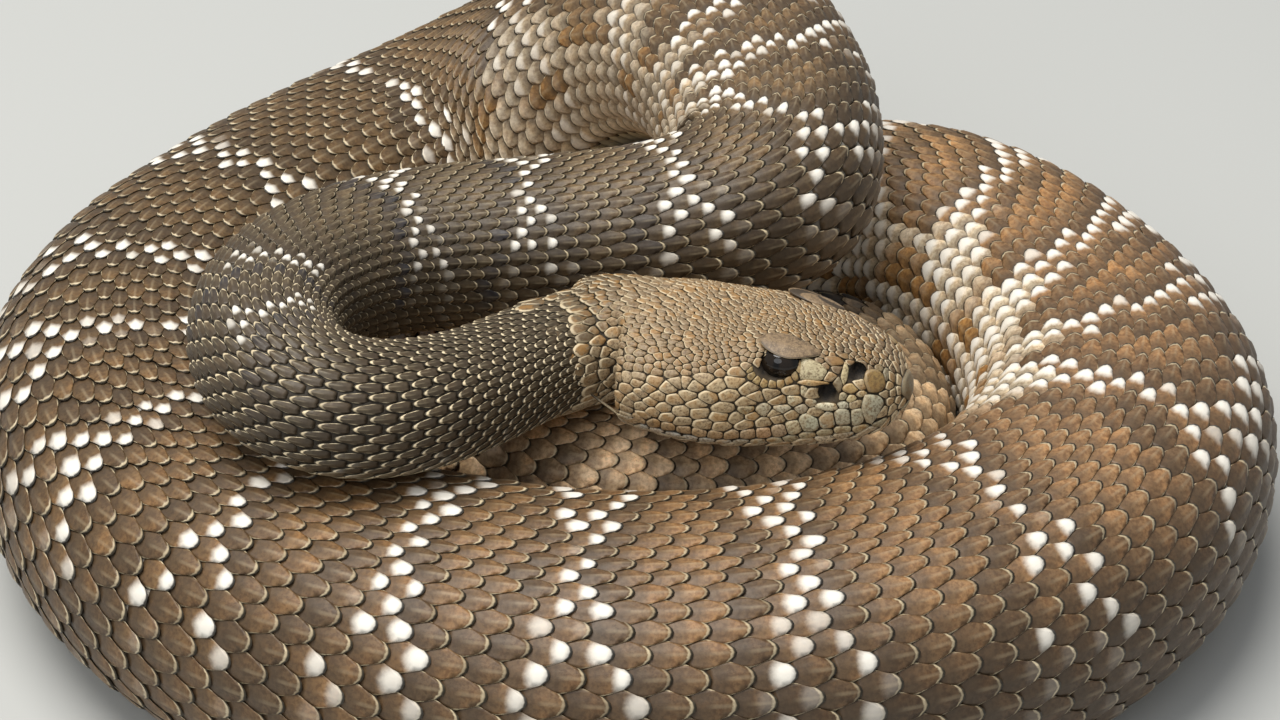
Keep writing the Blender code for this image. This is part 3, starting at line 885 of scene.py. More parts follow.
def scale_finish(name, rim_share, rim_wide, shadow_line_wide, keel_highlight, mottle):
    """A keeled scale: mottled in its middle, with painted shade at its root and a painted highlight
    along its keel, and at its tip a pale rim, partly its own colour and partly painted highlight,
    inside a thin line of painted shadow."""
    finish = Finish(name, IOR=1.45)
    ground = finish.colour("ground")
    along, beside, white = finish.parts(finish.colour("place"))
    luck = finish.parts(finish.colour("luck"))[0]
    fine = finish.noise(1500.0, 4.0, 0.62)
    blotch = finish.noise(420.0, 3.0, 0.55)
    grain = finish.noise(6500.0, 2.0, 0.6)
    wander = (fine - 0.5) * 0.12
    edge = ((1.0 - beside) * 0.85).least((1.0 - along) * 1.3)
    tone = finish.mix(mottle * fine.rise(0.36, 0.66), ground, linear(150, 126, 104), "MULTIPLY")
    tone = finish.mix(0.55 * blotch.rise(0.42, 0.7), tone, (1.5, 1.34, 1.15), "MULTIPLY")
    # painted shade at the root, where the scale in front overlaps it
    tone = finish.mix((1.0 - along.rise(0.25, 0.72)) * 0.6, tone, DARK_MARK_AND_SHADE)
    # a painted highlight along the keel
    keel = (1.0 - beside.rise(0.02, 0.18)) * along.rise(0.3, 0.6) * keel_highlight
    tone = finish.mix(keel, tone, CREAM)
    # the pale rim at the tip: partly the scale's own colour, partly painted highlight
    rim = (1.0 - (edge + wander).rise(rim_wide * 0.6, rim_wide)) * along.rise(0.35, 0.65)
    rim = rim * (0.4 + 0.6 * luck) * rim_share
    tone = finish.mix(rim, tone, CREAM)
    far = ((1.0 - along) * (1.6 + 0.8 * luck)) ** 2.0 + (beside * 1.08) ** 2.0
    white_drop = 1.0 - (far + wander * 2.0).rise(0.3, 1.15)
    tone = finish.mix(white * white_drop, tone, WHITE)
    # a thin line of painted shadow at the scale's edge
    tone = finish.mix((1.0 - edge.rise(shadow_line_wide * 0.5, shadow_line_wide)) * 0.9, tone, GAP_SHADOW)
    return finish.done(tone, 0.5 + 0.16 * (fine - 0.5), grain * 0.5 + fine * 0.5, 0.35, 0.00012)


def skin_finish():
    """The bare skin that shows between the scales."""
    finish = Finish("interstitial_skin", IOR=1.4)
    ground = finish.colour("ground")
    fine = finish.noise(2600.0, 4.0, 0.6)
    base = finish.mix(0.5 * fine.rise(0.35, 0.7), ground, DARK_MARK_AND_SHADE)
    return finish.done(base, 0.62 + 0.1 * fine, fine, 0.5, 0.0002)


def belly_finish():
    """Wide satin plates, cream with faint grey freckles, and with painted shade at their roots."""
    finish = Finish("belly_plate", IOR=1.47)
    ground = finish.colour("ground")
    along = finish.parts(finish.colour("place"))[0]
    blotch = finish.noise(260.0, 4.0, 0.6)
    fine = finish.noise(1800.0, 3.0, 0.6)
    base = finish.mix(0.55 * blotch.rise(0.5, 0.68), ground, linear(150, 138, 112))
    # painted shade at each plate's root, where the plate in front overlaps it
    base = finish.mix((1.0 - along.rise(0.0, 0.4)) * 0.4, base, linear(140, 124, 92))
    return finish.done(base, 0.36 + 0.1 * fine, fine, 0.15, 0.0001)


dice = np.random.default_rng(702)
dorsal_template = Template(6, 6)
ventral_template = Template(5, 14)


# How much the scales vary one from another: shares of length, width, rise and tone, and
# millimetres of twist and of where a scale reads its markings
LENGTH_VARIES = 0.035
WIDTH_VARIES = 0.03
RISE_VARIES = 0.06
TONE_VARIES = 0.085
TWIST_VARIES = 0.12
MARK_VARIES = 0.75


def dorsal_coat(name, first, last, material):
    """Overlapping scales over the back and flanks, in rows along the body."""
    s, across_share, row_width = scale_places(first, last).T
    count = len(s)
    q = across_share + roll(s)
    girth = hide.girth(s)
    slender = 1 - ramp(s, 30, 150)
    width = row_width * girth * (WIDENED - 0.36 * slender)
    lowest = ramp(np.abs(across_share), DORSAL / 2 - 0.075, DORSAL / 2)
    length = table(PITCH, s) * (OVERLAP - 0.08 * slender)
    length = length * np.clip(stretch(s, q), 0.4, 2.2) ** -0.45
    length = length * (1 + dice.normal(0, LENGTH_VARIES, count)) * (1 + 0.1 * lowest)
    width = width * (1 + dice.normal(0, WIDTH_VARIES, count)) * (1 + 0.12 * lowest)
    rise = table(SCALE_RISE, s) * (1 + dice.normal(0, RISE_VARIES, count))
    depth = table(SKIN_DEPTH, s)
    keel = 0.62 * (1 - lowest) * (0.8 + 0.2 * ramp(s, 0, 100))
    twist = dice.normal(0, TWIST_VARIES, count)
    across = across_share * girth
    stray = dice.normal(0, MARK_VARIES, count) * (1 - slender)
    marks = markings(s + length * 0.4 + stray, across)
    ground = ground_colour(s, marks)
    ground = ground * np.exp(dice.normal(0, TONE_VARIES, count))[:, None]
    ground = coloured(ground, CREAM, 0.35 * ramp(lowest, 0.3, 1.0))
    white = marks["white"] * (1 - 0.25 * dice.random(count))
    white = np.where(white > 0.4, np.clip(white * 1.2, 0, 1), white * 0.5)
    lie = (s, q, length, width, rise, depth, keel, twist)
    return coat(name, dorsal_template, lie, white, ground, (first, last), material)


def belly_coat(name, first, last, material):
    """One wide plate under the body for each step of the scales above."""
    fine, count = steps_along(first, last)
    s = np.interp(np.arange(0, math.floor(count[-1])) + 0.25, count, fine)
    none = np.zeros(len(s))
    lie = (s, 0.5 + roll(s), table(PITCH, s) * 1.35, (1 - DORSAL + 0.035) * hide.girth(s),
           table(SCALE_RISE, s) * 0.72, table(SKIN_DEPTH, s), none, none)
    ground = np.tile(np.array(BELLY_CREAM), (len(s), 1))
    ground = ground * np.exp(dice.normal(0, 0.05, len(s)))[:, None]
    marks = markings(s, none)
    ring = coloured(ground, linear(60, 56, 50), marks["ring"])
    ground = coloured(ground, linear(188, 176, 150), 0.5 * marks["tail"])
    ground = np.where((marks["tail"] > 0.5)[:, None], ring, ground)
    return coat(name, ventral_template, lie, none, ground, (first, last), material)


# The skin's grid, and the strips that its bake map is cut in
SKIN_ROUND = 96
SKIN_HEAD_RINGS = 150
SKIN_BODY_RINGS = 560
UNWRAP_STRIPS = 3
# Ahead of this s lie the openings of the face
FACE_START = -20


def skin_mesh():
    """The whole skin from the snout to the tail's end, as one grid closed round and at its ends."""
    at_s = np.concatenate([np.linspace(hide.start, 0, SKIN_HEAD_RINGS, endpoint=False),
                           np.linspace(0, hide.end, SKIN_BODY_RINGS)])
    rings = len(at_s)
    form = bmesh.new()
    bmesh.ops.create_grid(form, x_segments=rings - 1, y_segments=SKIN_ROUND, size=1)
    mesh = mesh_of("skin", form)
    along, around, _ = places_of(mesh).T
    ring = np.rint((along + 1) / 2 * (rings - 1)).astype(int)
    turn = np.rint((around + 1) / 2 * SKIN_ROUND).astype(int) / SKIN_ROUND
    s = at_s[ring]
    points = shaped_skin(s, turn)
    for end in (0, rings - 1):
        points[ring == end] = points[ring == end].mean(axis=0)
    mesh.vertices.foreach_set("co", (points * METRES).astype(np.float32).ravel())
    corner = corners_of(mesh)
    strip = np.repeat(ring[corner].reshape(-1, 4).min(axis=1) * UNWRAP_STRIPS // rings, 4)
    share = ring[corner] * UNWRAP_STRIPS / rings - strip
    bake_map(mesh, np.stack([0.01 + 0.97 * np.clip(share, 0, 1.01),
                             (strip + 0.02 + 0.96 * turn[corner]) / UNWRAP_STRIPS], axis=1))
    paint(mesh, "ground", skin_colour(s, turn))
    form = bmesh.new()
    form.from_mesh(mesh)
    bmesh.ops.remove_doubles(form, verts=form.verts, dist=2e-6)
    bmesh.ops.dissolve_degenerate(form, edges=form.edges, dist=1e-7)
    bmesh.ops.recalc_face_normals(form, faces=form.faces)
    form.to_mesh(mesh)
    form.free()
    mesh.shade_smooth()
    return mesh


def shaped_skin(s, q):
    """The skin's points, with its eye sockets, nostrils and pits."""
    points = hide.at(s, q, -table(SKIN_DEPTH, s))
    face = s < FACE_START
    points[face] = sink(points[face], False)
    return points


def skin_colour(s, q):
    """The markings, darkened with painted shade between the scales, more on the neck, and with
    painted shadow near black in the face's openings.
    """
    away = ((q - roll(s) + 0.5) % 1.0) - 0.5
    across = away * hide.girth(s)
    marks = markings(s, across)
    colour = ground_colour(s, marks)
    # painted shade: the skin between the scales lies in their shade
    dark = coloured(colour, GAP_SHADOW, 0.66)
    dark = coloured(dark, WHITE, 0.45 * marks["white"])
    under = ramp(np.abs(away), DORSAL / 2 - 0.02, DORSAL / 2 + 0.02)
    dark = coloured(dark, linear(178, 162, 128), under)
    # more painted shade between the scales of the neck
    dark = coloured(dark, linear(40, 37, 30), 0.7 * window(s, -2, 4, 70, 110) * (1 - under))
    dark = coloured(dark, linear(78, 66, 48), 1 - ramp(s, -6, -2))
    hole = np.zeros(len(s))
    where = head.local(hide.look(hide.points, s, q))
    for station, height, long, high, *_ in OPENINGS:
        far = np.hypot((where[:, 0] - station) / long, (where[:, 2] - height) / high)
        hole = np.maximum(hole, (1 - ramp(far, 0.95, 1.3)) * (s < FACE_START))
    # painted shadow, near black, inside the face's openings
    return coloured(dark, linear(16, 13, 11), hole)


# The nodes that the one skin stands for
FLESH = ["head", "lower_jaw", "neck", *(f"body_{k:02d}" for k in range(1, 16)),
         "tail_base", "tail_middle", "tail_tip"]

body_scales = scale_finish("body_scale", 0.95, 0.18, 0.095, 0.12, 0.6)
neck_scales = scale_finish("neck_scale", 1.35, 0.24, 0.09, 0.12, 0.5)
tail_scales = scale_finish("tail_scale", 0.3, 0.2, 0.07, 0.3, 0.4)
belly_plates = belly_finish()
# Where one piece of the coat ends and the next begins
REACHES = (70, 180, 290, 385, 480, 575, 670, 770, TAIL_START)
COAT_END = 941
dorsal_coat("neck_scales", 0.4, REACHES[0], neck_scales)
for number, (first, last) in enumerate(zip(REACHES, REACHES[1:]), 1):
    dorsal_coat(f"body_scales_{number}", first, last, body_scales)
dorsal_coat("tail_scales", TAIL_START, COAT_END, tail_scales)
belly_coat("belly_plates", -2, TAIL_START, belly_plates)
belly_coat("tail_plates", TAIL_START, COAT_END, belly_plates)


# The shield over each eye: its place in the head's space, its half sizes, and its turns
SHIELD_PLACE = (32.5, 7.8, 8.9)
SHIELD_SIZE = (4.5, 2.45, 0.6)
SHIELD_DROOP = math.radians(11.0)
SHIELD_ROLL = math.radians(13.0)
SHIELD_TURN = math.radians(-3.0)
# The half sizes of each eye's ball, its slit, and where its iris ends
EYE_SIZE = (3.15, 2.6, 2.4)
SLIT_SIZE = (0.42, 1.75)
IRIS_EDGE = (2.2, 2.5)
# Openings of the face on each side: station, height, half length, half height, depth, and how
# far out and how deep the skin round it sinks
OPENINGS = (
    (EYE_STATION + 0.3, EYE_HEIGHT - 0.4, 2.45, 1.72, 5.2, 1.6, 0.3),
    (NOSTRIL[0], NOSTRIL[1] - 0.1, 1.1, 1.15, 1.8, 1.5, 0.25),
    (HEAT_PIT[0], HEAT_PIT[1] + 0.7, 1.25, 1.3, 2.2, 1.6, 0.35),
)
# The line of the mouth: station and height
MOUTH = ((8, -2.9), (16, -4.0), (24, -4.9), (30, -4.7), (34.4, -3.8), (36.4, -3.1), (38.8, -2.5),
         (41.1, -2.0), (44.3, -1.8), (47, -1.4), (50, -1.2))


def sink(points, outwards):
    """Points of the face, drawn in round its openings, and moved out to an opening's rim or else
    down into it."""
    where = head.local(points)
    side = np.sign(where[:, 1])
    inwards = np.zeros(len(points))
    moved = points.copy()
    for station, height, long, high, depth, reach, dip in OPENINGS:
        x, z = where[:, 0] - station, where[:, 2] - height
        far = np.sqrt((x / long) ** 2 + (z / high) ** 2)
        near = (far < reach) & (np.abs(where[:, 1]) > 1.5)
        inwards = np.where(near, np.maximum(inwards, dip * (1 - ramp(far, 1.0, reach))), inwards)
        if outwards:
            inside = near & (far < 1.0)
            grow = np.where(inside, 1 / np.maximum(far, 0.05) - 1, 0)[:, None]
            moved = moved + grow * (x[:, None] * head.ahead + z[:, None] * head.up)
        else:
            hole = np.where(near, 1 - ramp(far, 0.86, 1.0), 0)
            inwards = np.maximum(inwards, hole * depth)
    return moved - (side * inwards)[:, None] * head.left


class Plates(Shape):
    """Small plates that fill the head's surface between them, each round its own seed."""

    TURNS = 18
    # how far out each ring of a plate is, and how high it stands
    RINGS = ((0.9, -1.0), (1.0, 0.3), (0.93, 0.78), (0.66, 0.95))
    # how sharp a plate's corners are, how many neighbours bound it, and how far it may reach
    CORNER = 14.0
    NEIGHBOURS = 14
    FARTHEST = 1.9

    def __init__(self):
        form = bmesh.new()
        edges = bmesh.ops.create_circle(form, segments=self.TURNS, radius=self.RINGS[0][0])["verts"]
        for vertex in edges:
            vertex.co.z = self.RINGS[0][1]
        ring = form.edges[:]
        for far, high in self.RINGS[1:]:
            grown = bmesh.ops.extrude_edge_only(form, edges=ring)["geom"]
            ring = [item for item in grown if isinstance(item, bmesh.types.BMEdge)]
            for vertex in (item for item in grown if isinstance(item, bmesh.types.BMVert)):
                flat = Vector((vertex.co.x, vertex.co.y)).normalized() * far
                vertex.co = (flat.x, flat.y, high)
        top = bmesh.ops.edgeloop_fill(form, edges=ring)["faces"]
        centre = bmesh.ops.poke(form, faces=top)["verts"][0]
        centre.co.z = 1.0
        low = [edge for edge in form.edges if edge.is_boundary]
        bmesh.ops.edgeloop_fill(form, edges=low)
        bmesh.ops.recalc_face_normals(form, faces=form.faces)
        places = self.keep(form)
        self.far = np.hypot(places[:, 0], places[:, 1])
        self.angle = np.arctan2(places[:, 1], places[:, 0])
        self.high = places[:, 2]
        form.free()

        rows = hide.s < HEAD_MAP_END
        self.points = hide.points[rows].reshape(-1, 3)
        self.normals = hide.normal[rows].reshape(-1, 3)
        self.rearward = unit(hide.along[rows].reshape(-1, 3))
        area = np.linalg.norm(np.cross(hide.along[rows], hide.across[rows]), axis=-1)
        area = area * np.abs(np.gradient(hide.s[rows]))[:, None]
        self.area = area.ravel() / area.sum()
        self.s = np.repeat(hide.s[rows], MAP_ROUND)
        self.q = np.tile(np.arange(MAP_ROUND) / MAP_ROUND, rows.sum())
        self.tree = KDTree(len(self.points))
        for number, point in enumerate(self.points):
            self.tree.insert(point, number)
        self.tree.balance()

    def nearest(self, points):
        return np.array([self.tree.find(point)[1] for point in points])

    def onto(self, points):
        """The points moved on to the head's surface, with the normals there."""
        index = self.nearest(points)
        normal = self.normals[index]
        off = ((points - self.points[index]) * normal).sum(axis=1, keepdims=True)
        return points - off * normal, normal, index


def plate_size(where, normal_up):
    """Half length and half width of the free scales at places in the head's space."""
    x = where[:, 0]
    crown = ramp(normal_up, 0.45, 0.75)
    under = ramp(-normal_up, 0.35, 0.7)
    cheek = 1 - crown - under
    rear = 1 - ramp(x, 6, 24)
    top_width = 0.56 + 0.2 * rear + 0.12 * ramp(x, 36, 42)
    collar = 1 - ramp(x, 0, 6)
    side_width = 1.0 - 0.15 * rear - 0.18 * ramp(x, 24, 34) - 0.16 * collar
    chin_width = 1.35 + 0.3 * rear
    width = crown * top_width + cheek * side_width + under * chin_width
    long = crown * (1.16 + 0.3 * rear) + cheek * (1.52 - 0.1 * rear) + under * (1.5 + 0.2 * rear)
    return width * long, width


# Plates with their own place on each side of the face: station, height, half length, half
# width, thickness, and colour
OWN_PLATES = (
    # round the nostril
    (44.9, 4.5, 1.8, 1.8, 0.55, (138, 112, 68)),
    (40.6, 5.9, 0.6, 1.6, 0.5, (172, 156, 118)),
    (41.9, 3.9, 1.2, 0.6, 0.45, (176, 148, 98)),
    (39.0, 7.3, 1.25, 1.0, 0.45, (134, 106, 72)),
    # between the nostril, the eye and the pit
    (39.9, 4.6, 0.8, 1.1, 0.42, (136, 122, 96)),
    (36.7, 6.2, 2.05, 1.3, 0.42, (186, 172, 136)),
    (36.9, 4.7, 1.9, 0.5, 0.5, (186, 160, 116)),
    (38.9, 1.0, 1.5, 0.65, 0.45, (190, 180, 150)),
    # beads under the nose and the eye
    (43.5, 3.0, 0.85, 0.6, 0.4, (176, 164, 130)),
    (42.1, 2.2, 0.75, 0.6, 0.4, (190, 172, 128)),
    (40.8, 2.7, 0.65, 0.6, 0.4, (170, 158, 126)),
    (41.0, 1.2, 1.1, 0.55, 0.4, (188, 182, 156)),
    (36.6, 1.6, 0.75, 0.75, 0.4, (178, 168, 140)),
    (35.3, 3.5, 0.7, 0.75, 0.4, (196, 184, 150)),
    (35.2, 0.4, 0.95, 0.75, 0.42, (172, 160, 134)),
    (34.0, 2.0, 1.0, 0.85, 0.42, (196, 186, 154)),
    (32.4, 0.5, 1.2, 0.9, 0.42, (198, 186, 156)),
    (30.0, 0.3, 1.25, 1.0, 0.42, (184, 172, 142)),
    (27.7, 0.5, 1.2, 1.05, 0.42, (176, 158, 120)),
    # upper lip, from the snout
    (44.9, 0.8, 1.65, 1.8, 0.55, (172, 166, 140)),
    (43.0, -0.3, 0.95, 1.45, 0.5, (170, 163, 136)),
    (40.9, -0.6, 1.15, 1.15, 0.5, (172, 164, 138)),
    (38.7, -1.1, 1.2, 1.2, 0.5, (174, 166, 140)),
    (36.4, -1.6, 1.3, 1.3, 0.5, (168, 164, 138)),
    (34.2, -2.5, 1.1, 1.1, 0.46, (168, 158, 128)),
    (32.2, -3.1, 1.1, 1.0, 0.46, (176, 152, 120)),
    (30.0, -3.5, 1.1, 1.0, 0.46, (178, 148, 116)),
    # snout
    (46.0, 4.7, 0.85, 1.15, 0.45, (128, 120, 98)),
    (45.0, 5.6, 0.9, 0.9, 0.42, (132, 114, 84)),
    # the ridge from the snout to the eye
    (40.2, 7.6, 1.5, 0.6, 0.42, (128, 104, 72)),
    (42.7, 6.9, 1.3, 0.6, 0.42, (126, 104, 74)),
)
# Plates with their own place in or beside the middle: also how far left they are
MIDDLE_PLATES = (
    (50.0, 0.0, 1.2, 2.1, 2.6, 0.6, (112, 102, 80)),
    (49.4, 0.0, -2.2, 1.0, 1.9, 0.4, (150, 140, 112)),
    (43.0, 2.4, -6.0, 3.6, 1.9, 0.4, (196, 186, 160)),
    (43.0, -2.4, -6.0, 3.6, 1.9, 0.4, (196, 186, 160)),
)
# Small scales under each eye: their number, the arc's half length and half height, the degrees
# where it starts and over which it goes, and the scales' colour
EYE_RING = 9
EYE_ARC_SIZE = (3.5, 2.75)
EYE_ARC_FROM = -15
EYE_ARC_OVER = 150
EYE_RING_SEEN = (150, 128, 86)
# Lip plates in even rows behind these: first and last station, count, height over the mouth's
# line, half width, and the colours at the rear and in front
LIP_ROWS = (
    (11.0, 29.0, 8, 1.05, 1.0, (178, 150, 112), (176, 152, 120)),
    (11.0, 47.0, 15, -0.95, 0.85, (204, 200, 184), (160, 148, 116)),
)
# How the free scales are spread: even rows, then random tries between them. Each pass has its
# own least distance, in half sizes, and is eased apart by small steps
SEED_PASSES = (0.72, 0.8, 0.8, 0.66)
SEED_TRIES = 30000
ROW_STEP = 1.73
ZONE_REACH = 0.32
RELAX_PASSES = 10
RELAX_SHARE = 0.2
LONGEST_STEP = 0.4
HEAD_REAR = 2.2
HEAD_MAP_END = 4.0


def fixed_plates():
    """Seeds that stay where they are: along the lips, at the snout's tip, the nose, pit and eye."""
    rows = []

    def add(side, station, height, *rest):
        rows.append((station, side * head.half_width(station, height), height, *rest))

    for side in (1, -1):
        for first, last, count, lift, wide, rear_seen, front_seen in LIP_ROWS:
            pitch = (last - first) / count
            for k in range(count):
                station = first + pitch * (k + 0.5)
                height = float(table(MOUTH, station)) + lift
                front = ramp(station, 18, 34)
                colour = coloured(np.array(linear(*rear_seen)), linear(*front_seen), front)
                add(side, station, height, pitch / 2, wide, 0.42, *colour)
        for station, height, long, wide, thick, seen in OWN_PLATES:
            add(side, station, height, long, wide, thick, *linear(*seen))
        for k in range(EYE_RING):
            angle = math.radians(EYE_ARC_FROM - EYE_ARC_OVER * k / (EYE_RING - 1))
            station = EYE_STATION + EYE_ARC_SIZE[0] * math.cos(angle)
            height = EYE_HEIGHT + EYE_ARC_SIZE[1] * math.sin(angle) - 0.2
            add(side, station, height, 0.75, 0.75, 0.34, *linear(*EYE_RING_SEEN))
    for *place, seen in MIDDLE_PLATES:
        rows.append((*place, *linear(*seen)))
    # the openings come last: they hold their neighbours off, and get no plate of their own
    for side in (1, -1):
        for station, height, long, high, *_ in OPENINGS:
            add(side, station, height, long, high, 0.4, *GAP_SHADOW)
    return np.array(rows)


def kept_off(where):
    """Places that the brow shields, the openings and the mouth's line keep free of small scales."""
    x, y, z = where.T
    beside = np.abs(y)
    shield = ((x - SHIELD_PLACE[0]) / 3.9) ** 2 + ((beside - SHIELD_PLACE[1]) / 1.75) ** 2 < 1
    closed = shield & (z > 7)
    out = np.interp(x, hide.station[::-1], hide.widest[::-1])
    for station, height, long, high, *_ in OPENINGS:
        far = ((x - station) / (long + 0.2)) ** 2 + ((z - height) / (high + 0.1)) ** 2 < 1
        closed = closed | (far & (beside > out - 2.6))
    return closed | ((x > MOUTH_CORNER) & (np.abs(z - table(MOUTH, x)) < 0.8) & (beside > 1))


def eased_apart(plates, points, halves, held):
    """The seeds pushed clear of each other along the head's surface."""
    for _ in range(RELAX_PASSES):
        index = plates.nearest(points)
        ahead, out = plates.rearward[index], plates.normals[index]
        beside = np.cross(out, ahead)
        size = np.stack(plate_size(head.local(points), out @ head.up), axis=1)
        halves = np.where(held[:, None], halves, size)
        away = points[None] - points[:, None]
        reach = halves[:, None] + halves[None]
        a = (away * ahead[:, None]).sum(-1) / reach[..., 0]
        b = (away * beside[:, None]).sum(-1) / reach[..., 1]
        distance = np.hypot(a, b) + 9 * np.eye(len(points))
        push = np.maximum(0, 1.04 - distance) / np.maximum(distance, 0.05)
        move_a = -(push * a * reach[..., 0]).sum(axis=1) * RELAX_SHARE
        move_b = -(push * b * reach[..., 1]).sum(axis=1) * RELAX_SHARE
        step = move_a[:, None] * ahead + move_b[:, None] * beside
        far = np.linalg.norm(step, axis=1, keepdims=True) / LONGEST_STEP
        step = step / np.maximum(1, far)
        moved = plates.onto(points + step)[0]
        stay = held | kept_off(head.local(moved)) | ((moved - points) @ head.ahead < -0.39)
        points = np.where(stay[:, None], points, moved)
    return points, halves


# The zones of the head that hold even rows: where their middle is round the head, and how far up
# the surface looks there, at least and at most
ZONES = ((0.0, 0.66, 1.1), (0.25, -0.45, 0.66), (0.75, -0.45, 0.66), (0.5, -1.1, -0.45))


def even_rows():
    """Places in even rows over the crown, the cheeks and the chin."""
    found = []
    for middle, low, high in ZONES:
        s, ring = HEAD_REAR, 0
        while s > hide.start + 1:
            centre = hide.look(hide.points, np.array([s]), np.array([middle]))
            tilt = unit(hide.look(hide.normal, np.array([s]), np.array([middle]))) @ head.up
            long, wide = [float(size[0]) for size in plate_size(head.local(centre), tilt)]
            girth = float(hide.girth(s))
            number = int(ZONE_REACH * girth / (2 * wide))
            across = (np.arange(-number, number + 1) + 0.5 * (ring % 2)) * 2 * wide
            q = middle + across / girth
            at = s + dice.normal(0, 0.05 * long, len(q))
            normal_up = unit(hide.look(hide.normal, at, q)) @ head.up
            inside = (normal_up >= low) & (normal_up < high)
            found.append(hide.look(hide.points, at, q)[inside])
            s -= ROW_STEP * long
            ring += 1
    return np.concatenate(found)


def head_seeds(plates):
    """Every plate of the head: its place, axes, sizes and colour."""
    fixed = fixed_plates()
    places = (head.start + fixed[:, :1] * head.ahead + fixed[:, 1:2] * head.left
              + fixed[:, 2:3] * head.up)
    points, halves = plates.onto(places)[0], fixed[:, 3:5]
    for number, spacing in enumerate(SEED_PASSES):
        if number:
            tries = dice.choice(len(plates.points), SEED_TRIES, p=plates.area)
            tries = tries[plates.s[tries] < HEAD_REAR]
        else:
            tries = plates.nearest(even_rows())
        tries = tries[~kept_off(head.local(plates.points[tries]))]
        where = head.local(plates.points[tries])
        try_sizes = np.stack(plate_size(where, plates.normals[tries] @ head.up), axis=1)
        filled = len(points)
        points = np.concatenate([points, np.zeros((len(tries), 3))])
        halves = np.concatenate([halves, np.ones((len(tries), 2))])
        for index, size in zip(tries, try_sizes):
            away = points[:filled] - plates.points[index]
            along = away @ plates.rearward[index]
            beside = np.sqrt(np.maximum((away**2).sum(axis=1) - along**2, 0))
            reach = halves[:filled] + size
            if (np.hypot(along / reach[:, 0], beside / reach[:, 1]) > spacing).all():
                points[filled], halves[filled] = plates.points[index], size
                filled += 1
        points, halves = points[:filled], halves[:filled]
        held = np.arange(filled) < len(fixed)
        if number < len(SEED_PASSES) - 1:
            points, halves = eased_apart(plates, points, halves, held)
    spot, normal, index = plates.onto(points)
    return spot, normal, index, halves, held, fixed


def plate_colour(where, normal_up):
    """The ground colour of the head's free scales."""
    x = where[:, 0]
    crown = ramp(normal_up, 0.3, 0.7)
    under = ramp(-normal_up, 0.2, 0.6)
    rear = 1 - ramp(x, 8, 22)
    colour = np.tile(np.array(linear(182, 161, 126)), (len(x), 1))
    for seen, share in (
        ((172, 150, 114), ramp(x, 18, 28) * (1 - under)),
        ((136, 114, 86), crown),
        ((122, 101, 76), crown * ramp(x, 30, 40)),
        ((152, 131, 102), 0.7 * rear * (1 - under)),
        ((124, 105, 79), 0.6 * crown * (1 - ramp(x, 0, 16))),
        ((92, 79, 59), 0.92 * (1 - ramp(x, 0, 5.5))),
        ((204, 192, 164), under),
    ):
        colour = coloured(colour, linear(*seen), share)
    return colour


def cell_reach(plates, spot, ahead, beside, halves):
    """How far each plate reaches at its template's points, in its own half sizes: up to the
    borders with its neighbours."""
    away = spot[None] - spot[:, None]
    a = (away * ahead[:, None]).sum(-1)
    b = (away * beside[:, None]).sum(-1)
    true = np.linalg.norm(away, axis=-1)
    flat = np.maximum(np.hypot(a, b), 1e-6)
    a, b = a * true / flat, b * true / flat
    mean = (halves[:, None] + halves[None]) / 2
    a, b = a / mean[..., 0], b / mean[..., 1]
    distance = np.hypot(a, b) + 99 * np.eye(len(spot))
    near = np.argsort(distance, axis=1)[:, :plates.NEIGHBOURS]
    rows = np.arange(len(spot))[:, None]
    own = np.sqrt(halves.prod(axis=1))
    share = own[:, None] / (own[:, None] + own[near])
    bound = distance[rows, near] * np.clip(share, 0.3, 0.7)
    toward = np.arctan2(b[rows, near], a[rows, near])
    turn = plates.angle[None, :, None] - toward[:, None]
    pull = (np.maximum(0, np.cos(turn)) / bound[:, None]) ** plates.CORNER
    return np.minimum(pull.sum(-1) ** (-1 / plates.CORNER), plates.FARTHEST)


